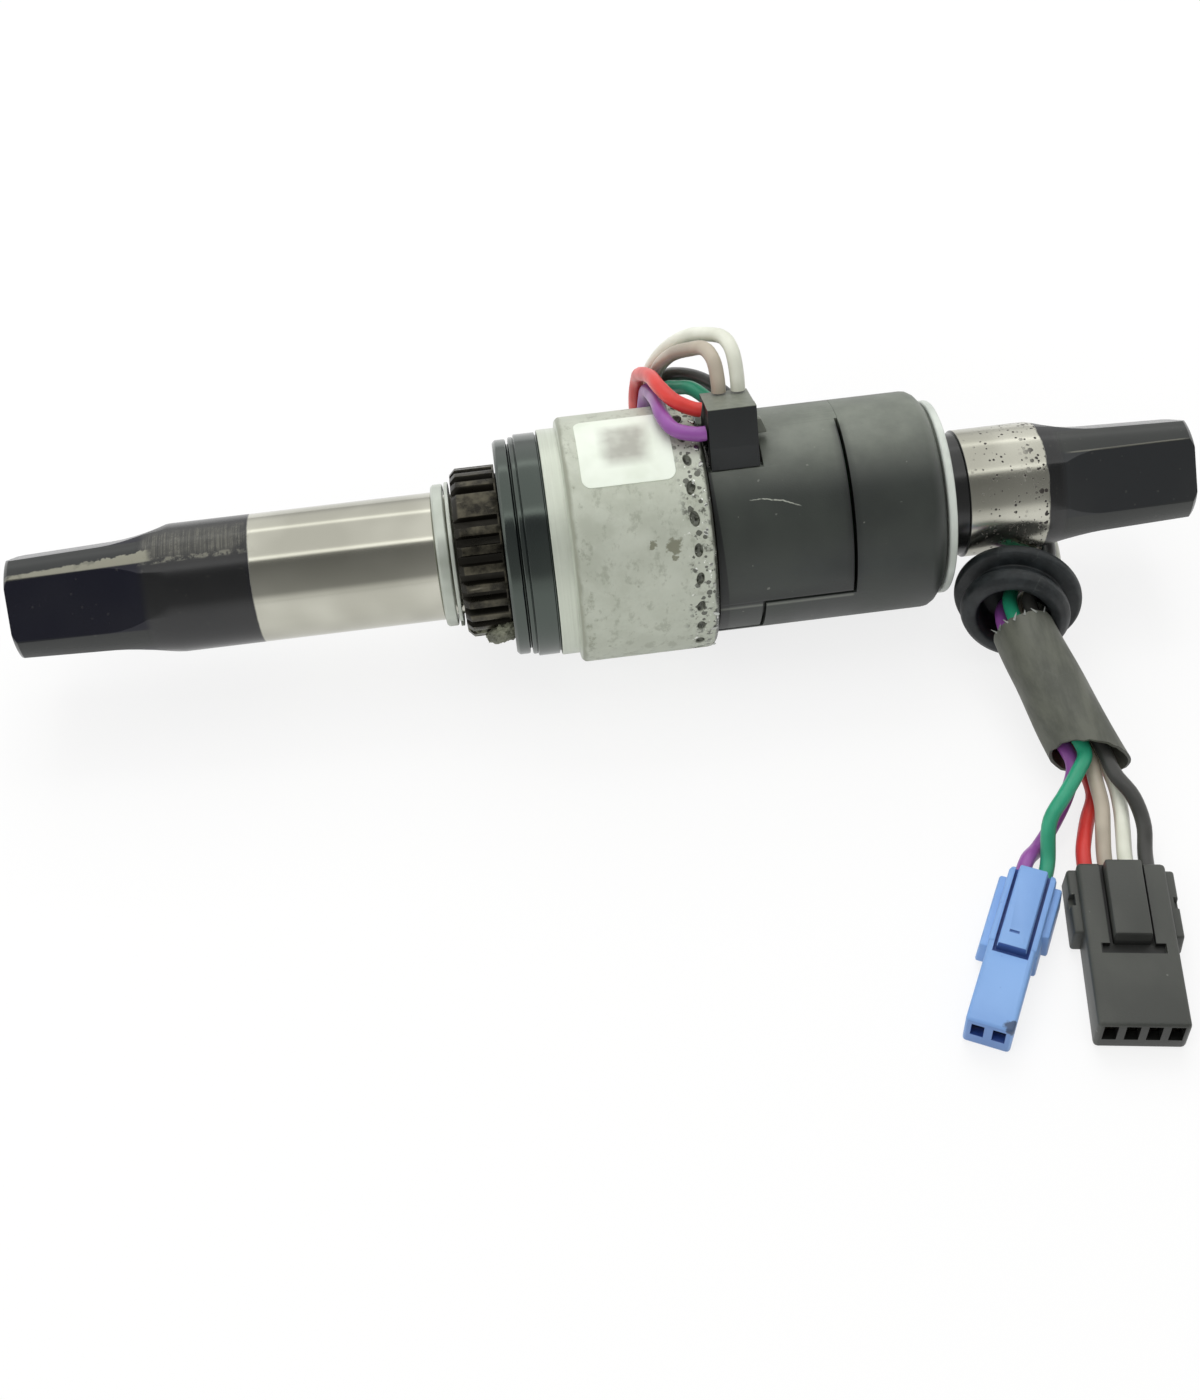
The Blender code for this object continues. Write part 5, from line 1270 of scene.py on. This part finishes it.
    @staticmethod
    def curve(name: str, points: list[Vector], radius: float) -> Piece:
        """Make a round cord through points in millimetres."""
        data = bpy.data.curves.new(name, "CURVE")
        data.dimensions = "3D"
        data.bevel_depth = radius * MM
        data.bevel_resolution = 5
        data.use_fill_caps = True
        spline = data.splines.new("POLY")
        spline.points.add(len(points) - 1)
        for place, point in zip(spline.points, points):
            place.co = (*(point * MM), 1.0)
        spline.use_smooth = True
        return Bench.placed(name, data)

    def sleeve(self) -> Piece:
        """Make the flexible tube: a ring of the route's section, drawn along it, with a wall."""
        path = self.smooth(self.route, self.step)[-1 - round(self.tube_length / self.step):]
        path = self.smooth(path, 0.5)
        facets, last = 40, len(path) - 1
        bm = bmesh.new()
        rings: list[list[bmesh.types.BMVert]] = []
        side = X_AXIS
        dice = random.Random(11)
        for k, point in enumerate(path):
            ahead = (path[min(k + 1, last)] - path[max(k - 1, 0)]).normalized()
            side = (side - ahead * side.dot(ahead)).normalized()
            up = side.cross(ahead)
            share = k / last
            radius = self.tube_start + (self.tube_end - self.tube_start) * share
            loop = []
            for facet in range(facets):
                angle = 2 * pi * facet / facets
                dent = 0.10 * sin(3 * angle + 7 * share) + 0.08 * sin(angle - 4 * share) - 0.10
                edge = dice.uniform(-0.16, 0.16) if k in (0, last) else 0.0
                edge += max(0.0, share - 0.6) / 0.4 * self.tube_slant * radius * cos(angle)
                at = point + (side * cos(angle) + up * sin(angle)) * (radius + dent) + ahead * edge
                loop.append(bm.verts.new(at * MM))
            rings.append(loop)
        for low, high in zip(rings, rings[1:]):
            for facet in range(facets):
                beside = (facet + 1) % facets
                bm.faces.new((low[facet], low[beside], high[beside], high[facet]))
        bmesh.ops.recalc_face_normals(bm, faces=bm.faces)
        mesh = bpy.data.meshes.new("cable_tubing")
        bm.to_mesh(mesh)
        bm.free()
        piece = Bench.placed("cable_tubing", mesh)
        Bench.apply(piece, "SOLIDIFY", thickness=self.tube_wall * MM, offset=-1.0)
        self.shreds(path[0], (path[1] - path[0]).normalized())
        return Bench.hand_over(piece, Body.HOUSING, TUBE, "sleeve_grey", "cable_sleeve", smooth=50)

    def shreds(self, rim: Vector, ahead: Vector) -> None:
        """Leave a few torn slivers standing round the tube's upper rim.

        Args:
            rim: Middle of the rim in millimetres.
            ahead: Direction of the tube.
        """
        side = (X_AXIS - ahead * X_AXIS.dot(ahead)).normalized()
        up = side.cross(ahead)
        dice = random.Random(21)
        places = []
        for degrees in (24, 58, 79, 96, 118, 131, 152, 171):
            angle = radians(degrees + dice.uniform(-5, 5))
            out = side * cos(angle) - up * sin(angle)
            lean = (out * dice.uniform(0.0, 0.5) - ahead + side * dice.uniform(-0.7, 0.7)).normalized()
            turn = Vector((0, 0, 1)).rotation_difference(lean).to_matrix().to_4x4()
            size = Matrix.Diagonal((1.0, 1.0, dice.uniform(0.5, 1.2), 1.0))
            places.append(Matrix.Translation((rim + out * 4.05) * MM) @ turn @ size)
        sliver = Bench.block("sliver", (0.34, 0.12, 1.3), Matrix.Identity(4), (0.15, 0.6))
        Bench.hand_over(Bench.copies("torn_shreds", sliver, places), Body.HOUSING, TORN, "rubber_black")

    def grommet(self) -> Piece:
        """Make the grommet: two flanges with a groove between and a bore for the tube."""
        outline = [(3.1, 4.9), (3.3, 5.3), (3.25, 6.1), (2.8, 6.8), (2.0, 7.2), (1.2, 7.15), (0.9, 6.2), (-0.55, 6.2),
                   (-0.75, 8.1), (-1.3, 8.4), (-2.0, 8.4), (-2.5, 7.8), (-2.6, 3.0), (-2.4, 1.1), (-2.0, 1.1),
                   (-1.7, 3.6), (-1.4, 4.7), (2.2, 4.7)]
        piece = Bench.turned("grommet", [(HALF + along, radius) for along, radius in outline], steps=96)
        Bench.ease(piece, 0.22, 3, 25)
        turn = X_AXIS.rotation_difference(self.grommet_axis).to_matrix().to_4x4()
        piece.data.transform(Matrix.Translation(self.grommet_at * MM) @ turn)
        return Bench.hand_over(piece, Body.HOUSING, GROMMET, "rubber_black", "cable_grommet")

    def build(self, plugs: Plugs, exit_block: Piece) -> None:
        """Args:
            plugs: The two connectors that the wires end in.
            exit_block: The block that the wires come out of.
        """
        on_wires = {"red": [self.sleeve(), self.grommet(), exit_block]}
        starts, lanes = self.starts(), self.lanes()
        for color, finish in WIRES.items():
            plug, ways = (plugs.blue, self.blue_ways) if color in self.blue_ways else (plugs.black, self.black_ways)
            last = [plug.way_point(ways.index(color), depth) for depth in (-self.clear, self.entry)]
            points = starts[color] + lanes[color] + [Vector(p) for p in self.ends[color]] + last
            path = self.smooth(points, self.fine_step)
            piece = self.curve(f"{color}_wire", path, self.wire_radius)
            Bench.hand_over(piece, Body.HOUSING, finish, f"wire_{color}", f"wire_{color}")
            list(on_wires.get(color, ()))


@dataclass
class Shaft:
    """The crank spindle with its collar, snap ring and tapers."""

    flat_half: float = 6.35
    taper: float = 2.0
    flat_length: float = 17.4
    runout: float = 22.0
    flat_at: float = 40.0

    def flat_cutters(self) -> Piece:
        """Make the eight wedges that mill the flats, each with a rounded heel."""
        reach = 9.0
        middle, heel = reach / 2 * MM, self.flat_length / 2 * MM
        model = Bench.block("flat", (self.flat_length + 2, 30.0, reach),
                            shift((self.flat_length - 2) / 2, 0, reach / 2))
        Bench.open(model)
        Bench.pick(model, lambda at: at.x > heel and at.z > middle)
        bpy.ops.transform.translate(value=(reach / tan(radians(self.runout)) * MM, 0, 0))
        Bench.pick(model, lambda at: at.x > heel and at.z < middle)
        bpy.ops.mesh.bevel(offset=5.0 * MM, segments=6, affect="EDGES")
        Bench.close()
        tilt = shift(0, 0, self.flat_half) @ Matrix.Rotation(-radians(self.taper), 4, "Y")
        places = []
        for station, mirror in ((0, Matrix.Identity(4)), (LENGTH, Matrix.Scale(-1, 4, X_AXIS))):
            for quarter in range(4):
                places.append(facing(around(station, 0, 0), self.flat_at + 90 * quarter) @ mirror @ tilt)
        cutters = Bench.copies("flats", model, places)
        Bench.open(cutters)
        bpy.ops.mesh.normals_make_consistent(inside=False)
        Bench.close()
        return cutters

    def build(self) -> None:
        """Turn the bar, mill its flats and round its edges, and turn the rings beside it."""
        end = [(22, 0), (22, 3.6), (1.0, 3.6), (0, 4.5), (0, 7.0), (0.6, 7.6), (17.4, 8.15), (21.0, 8.5)]
        outline = [(LENGTH - station, radius) for station, radius in end] + [
            (125.3, 8.5), (125.15, 8.2), (122.9, 8.2), (122.7, 8.5), (119.6, 8.5), (119.6, 7.95), (118.4, 7.95),
            (118.4, 8.5), (58.3, 8.5), (58.3, 7.95), (57.1, 7.95), (57.1, 8.5)] + end[::-1]
        piece = Bench.turned("shaft", outline, closed=False)
        Bench.cut(piece, self.flat_cutters())
        Bench.ease(piece, 0.18, 2, 24)
        Bench.hand_over(piece, Body.SPINDLE, STEEL, "black_oxide_steel", "crank_spindle", smooth=28)
        collar = Bench.turned("collar", [(57.15, 8.8), (57.15, 9.3), (57.0, 9.45), (55.9, 9.45), (55.6, 9.15),
                                         (55.6, 8.8)])
        Bench.ease(collar, 0.08)
        Bench.hand_over(collar, Body.SPINDLE, PALE_RING, "pale_ring", "spindle_collar")
        ring = Bench.hoop("open_ring", (57.4, 57.9), (8.25, 9.6), -22.0, 336.0)
        Bench.ease(ring, 0.1)
        Bench.hand_over(ring, Body.SPINDLE, PALE_RING, "pale_ring", "sleeve_snap_ring")


@dataclass
class TorqueSleeve:
    """The splined sleeve and the flinger that turns with it."""

    start: float = 58.3
    spline_length: float = 5.9
    tip: float = 11.2
    root: float = 10.15
    teeth: int = 28
    master_at: float = 78.0

    def sleeve(self) -> None:
        """Turn the blank and cut every groove but one."""
        nose = self.start + self.spline_length
        piece = Bench.turned("splined_sleeve", [
            (109.5, 9.7), (78.9, 9.7), (78.9, 10.0), (nose, 10.0), (nose, self.tip), (self.start + 0.75, self.tip),
            (self.start, self.tip - 0.75), (self.start, 8.8), (109.5, 8.8)])
        foot, mouth, depth = 0.9, 1.45, 2.4
        spread = foot + (mouth - foot) / (self.tip - self.root) * depth
        groove = Bench.block("groove", (self.spline_length + 2, foot, depth), Matrix.Identity(4), (1.0, spread / foot))
        angles = [self.master_at + tooth * 360 / self.teeth for tooth in range(1, self.teeth)]
        places = [facing(around(self.start + self.spline_length / 2 - 1.25, self.root + depth / 2, degrees), degrees)
                  for degrees in angles]
        Bench.cut(piece, Bench.copies("grooves", groove, places))
        Bench.ease(piece, 0.12, 2, 38)
        Bench.hand_over(piece, Body.SPINDLE, SPLINES, "spline_steel", "torque_sleeve", smooth=30)

    def flinger(self) -> None:
        """Turn the narrow glossy ring with its lip."""
        piece = Bench.turned("flinger", [(66.95, 13.0), (66.95, 13.6), (66.15, 13.6), (66.15, 14.15), (66.0, 14.3),
                                         (64.75, 14.3), (64.35, 13.9), (64.35, 10.3), (66.15, 10.3), (66.15, 13.0)])
        Bench.ease(piece, 0.12, 3)
        Bench.hand_over(piece, Body.SPINDLE, GLOSS_BLACK, "gloss_black", "seal_flinger")

    def grime(self) -> None:
        """Press a lump of old grease into the corner between the splines and the flinger."""
        piece = Bench.shape("grease_lump", bpy.ops.mesh.primitive_ico_sphere_add, subdivisions=5, radius=MM)
        Bench.resized(piece, (2.7, 5.2, 1.25))
        piece.data.transform(facing(around(63.2, 11.0, -38.0), -38.0) @ Matrix.Rotation(radians(16), 4, "Y"))
        cloud = bpy.data.textures.new("grease_waves", "CLOUDS")
        cloud.noise_scale = 0.0007
        cloud.noise_depth = 2
        Bench.apply(piece, "DISPLACE", texture=cloud, texture_coords="LOCAL", strength=0.9 * MM, mid_level=0.5)
        Bench.hand_over(piece, Body.SPINDLE, GRIME, "spline_steel")

    def build(self) -> None:
        """Make the sleeve, the flinger and the grease between them."""
        self.sleeve()
        self.flinger()
        self.grime()


@dataclass
class Housing:
    """The bearing cap, the staked casting and its blank label."""

    radius: float = 16.3
    start: float = 72.8
    end: float = 90.8
    stakes: int = 26
    stake_at: float = 47.7

    def cap(self) -> None:
        """Turn the wider glossy ring."""
        piece = Bench.turned("cap", [(73.5, 14.4), (70.0, 14.4), (70.0, 14.75), (67.25, 14.75), (67.1, 14.35),
                                     (67.0, 14.45), (66.6, 14.45), (66.45, 14.3), (66.45, 13.85), (67.7, 13.85),
                                     (67.7, 10.6), (70.0, 10.6), (70.0, 13.0), (73.5, 13.0)])
        Bench.ease(piece, 0.07, 3, 25)
        Bench.hand_over(piece, Body.HOUSING, GLOSS_BLACK, "gloss_black", "bearing_cap")

    def casting(self) -> None:
        """Turn the casting and sink its ring of pockets."""
        piece = Bench.turned("casting", [
            (self.end, self.radius - 0.7), (self.end - 0.5, self.radius - 0.1), (self.end - 1.1, self.radius),
            (self.start + 0.5, self.radius), (self.start, self.radius - 0.45), (self.start, 15.0), (70.3, 15.0),
            (70.3, 14.7), (79.1, 14.7), (79.1, 13.2), (self.end, 13.2)])
        Bench.ease(piece, 0.25, 3)
        model = Bench.shape("pocket", bpy.ops.mesh.primitive_uv_sphere_add, segments=20, ring_count=10, radius=MM)
        Bench.resized(model, (0.60, 0.98, 0.75))
        dice = random.Random(5)
        places = []
        for stake in range(self.stakes):
            station = self.end - 2.4 + dice.uniform(-0.12, 0.12)
            degrees = self.stake_at + stake * 360 / self.stakes + dice.uniform(-0.6, 0.6)
            places.append(facing(around(station, self.radius, degrees), degrees)
                          @ Matrix.Rotation(dice.uniform(-0.25, 0.25), 4, "Z")
                          @ Matrix.Scale(dice.uniform(0.9, 1.1), 4))
        Bench.cut(piece, Bench.copies("pockets", model, places))
        Bench.hand_over(piece, Body.HOUSING, CAST, "cast_aluminium", "cast_housing", smooth=30)

    def burrs(self) -> None:
        """Scatter the small bright burrs that staking threw up along the edge."""
        model = Bench.shape("burr", bpy.ops.mesh.primitive_ico_sphere_add, subdivisions=2, radius=MM)
        Bench.resized(model, (0.32, 0.5, 0.14))
        dice = random.Random(8)
        places = []
        for stake in range(self.stakes):
            for _ in range(dice.choice((0, 1, 1, 2))):
                station = self.end - dice.uniform(0.5, 1.25)
                degrees = self.stake_at + (stake + dice.uniform(0.2, 0.8)) * 360 / self.stakes
                places.append(facing(around(station, self.radius - 0.03, degrees), degrees)
                              @ Matrix.Rotation(dice.uniform(-1, 1), 4, "Z")
                              @ Matrix.Scale(dice.uniform(0.5, 1.15), 4))
        Bench.hand_over(Bench.copies("staking_burrs", model, places), Body.HOUSING, GLINT, "cast_aluminium")

    def label(self) -> None:
        """Lay the blank label round the casting, with rounded corners."""
        low, high, left, right = 67.0, 110.0, 75.0, 86.9
        middle = (low + high) / 2
        piece = Bench.hoop("label_plate", (left - 1, right + 1), (self.radius - 0.02, self.radius + 0.1),
                           low - 4, high - low + 8, steps=52)
        width = 2 * self.radius * sin(radians((high - low) / 2))
        plate = Bench.block("plate", (right - left, width, 9.0), Matrix.Identity(4))
        Bench.open(plate)
        bpy.ops.mesh.select_mode(type="EDGE")
        bpy.ops.mesh.select_all(action="DESELECT")
        mesh = bmesh.from_edit_mesh(plate.data)
        for edge in mesh.edges:
            first, second = (vert.co for vert in edge.verts)
            edge.select_set(abs(first.z - second.z) > MM)
        mesh.select_flush_mode()
        bmesh.update_edit_mesh(plate.data)
        bpy.ops.mesh.bevel(offset=1.2 * MM, segments=6, affect="EDGES")
        Bench.close()
        plate.data.transform(facing(around((left + right) / 2, self.radius, middle), middle))
        Bench.cut(piece, plate, "INTERSECT")
        Bench.hand_over(piece, Body.HOUSING, BLANK_LABEL, "white_plastic", smooth=30)

    def build(self) -> None:
        """Make the housing's pieces."""
        self.cap()
        self.casting()
        self.burrs()
        self.label()


@dataclass
class Cover:
    """The moulded shell, its lid, the cable exit block and the end washer."""

    start: float = COVER_START
    length: float = 29.9
    radius: float = 14.45
    inner: float = 12.9
    lid_length: float = 17.4
    lid_from: float = -4.7
    lid_to: float = 188.0
    slot: float = 1.7
    seam_to: float = 98.0
    tongue_from: float = -33.0
    tongue_length: float = 5.6
    gap: float = 0.45
    block_size: Point = (6.2, 7.9, 5.1)
    block_middle: Point = (94.7, 5.95, 15.95)
    skirt: float = 2.85
    skirt_depth: float = 2.0

    def block_frame(self, x: float = 0.0, y: float = 0.0, z: float = 0.0) -> Matrix:
        """Give the exit block's frame, with its origin moved from the block's middle."""
        station, front, up = self.block_middle
        return facing(around(station, up, BLOCK_AT) + outward(BLOCK_AT - 90) * front, BLOCK_AT) @ shift(x, y, z)

    def shell(self) -> None:
        """Turn the shell and open it for the lid and the lid's tongue."""
        end = self.start + self.length
        piece = Bench.turned("shell", [
            (end, self.radius - 1.7), (end - 0.35, self.radius - 1.15), (end - 0.9, self.radius - 0.5),
            (end - 1.6, self.radius - 0.08), (end - 2.2, self.radius), (self.start, self.radius),
            (self.start, self.inner), (end - 1.3, self.inner), (end - 1.3, 10.4), (end, 10.4)])
        Bench.cut(piece, Bench.hoop("opening", (self.start - 2, self.start + self.lid_length + self.gap),
                                    (self.inner - 2, self.radius + 2), self.lid_from, self.lid_to - self.lid_from))
        Bench.cut(piece, Bench.hoop("recess", (self.start - 2, self.start + self.tongue_length + self.gap),
                                    (self.radius - 1.05, self.radius + 2), self.tongue_from - 1.2,
                                    self.lid_from - self.tongue_from + 6, steps=30))
        Bench.ease(piece, 0.12, 2, 40)
        Bench.hand_over(piece, Body.HOUSING, COVER, "cover_plastic", "sensor_cover")
        Bench.apply(piece, "WEIGHTED_NORMAL", keep_sharp=True)

    def lid(self) -> None:
        """Make the lid with its snap tongue and the window for the exit block."""
        end = self.start + self.lid_length
        piece = Bench.hoop("lid", (self.start, end), (self.inner, self.radius), self.lid_from + self.slot,
                           self.lid_to - self.lid_from - 2 * self.slot)
        for name, stations, radii, start, sweep, steps in (
                ("tongue", (self.start + 0.05, self.start + self.tongue_length),
                 (self.radius - 0.75, self.radius - 0.07), self.tongue_from, self.lid_from - self.tongue_from + 5, 30),
                ("filler", (end - 1, end + self.gap - 0.04), (self.inner, self.radius), self.seam_to,
                 self.lid_to - self.slot - self.seam_to, 36)):
            Bench.cut(piece, Bench.hoop(name, stations, radii, start, sweep, steps), "UNION")
        length, depth, height = self.block_size
        Bench.cut(piece, Bench.block("window", (length + 2 * self.gap, depth + 2 * self.gap, height + 6),
                                     self.block_frame()))
        Bench.ease(piece, 0.1, 2, 40)
        Bench.hand_over(piece, Body.HOUSING, COVER, "cover_plastic", "cover_panel")

    def washer(self) -> None:
        """Turn the white washer against the shell's end."""
        piece = Bench.turned("washer", [(122.4, 8.8), (122.4, 12.7), (122.2, 12.9), (121.5, 12.9), (121.3, 12.7),
                                        (121.3, 8.8)])
        Bench.ease(piece, 0.1)
        Bench.hand_over(piece, Body.HOUSING, WHITE, "white_plastic", "end_washer")

    def block(self) -> Piece:
        """Make the cable exit block with the small rib at its right foot."""
        length, depth, height = self.block_size
        piece = Bench.block("exit_block", self.block_size, self.block_frame(), (0.985, 0.985))
        Bench.cut(piece, Bench.block("skirt", (length, self.skirt_depth, height + self.skirt),
                                     self.block_frame(0, -(depth - self.skirt_depth) / 2, -self.skirt / 2)), "UNION")
        Bench.ease(piece, 0.4, 3)
        rib = Bench.block("rib", (2.2, 1.6, 2.0), self.block_frame(3.6, -0.6, -1.0), (0.35, 1.0))
        Bench.ease(rib, 0.25)
        Bench.cut(piece, rib, "UNION")
        return Bench.hand_over(piece, Body.HOUSING, BLOCK, "cover_plastic", "cable_exit_block")

    def build(self) -> Piece:
        """Make the cover's pieces and give back the exit block."""
        self.shell()
        self.lid()
        self.washer()
        return self.block()


def finish_hidden() -> None:
    """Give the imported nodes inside, which keep their shape, their materials."""
    for finish, nodes in HIDDEN:
        for node in nodes:
            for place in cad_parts[node].material_slots:
                place.material = finish.material()
            log.info("%s keeps its shape", node)


def main() -> None:
    """Build the studio and every sub-assembly in order."""
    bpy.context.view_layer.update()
    Studio().build()
    plugs = Plugs()
    plugs.build()
    exit_block = Cover().build()
    Harness().build(plugs, exit_block)
    Shaft().build()
    TorqueSleeve().build()
    Housing().build()
    finish_hidden()
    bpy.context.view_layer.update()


if __name__ == "__main__":
    logging.basicConfig(level=logging.INFO, format="%(message)s")
    main()
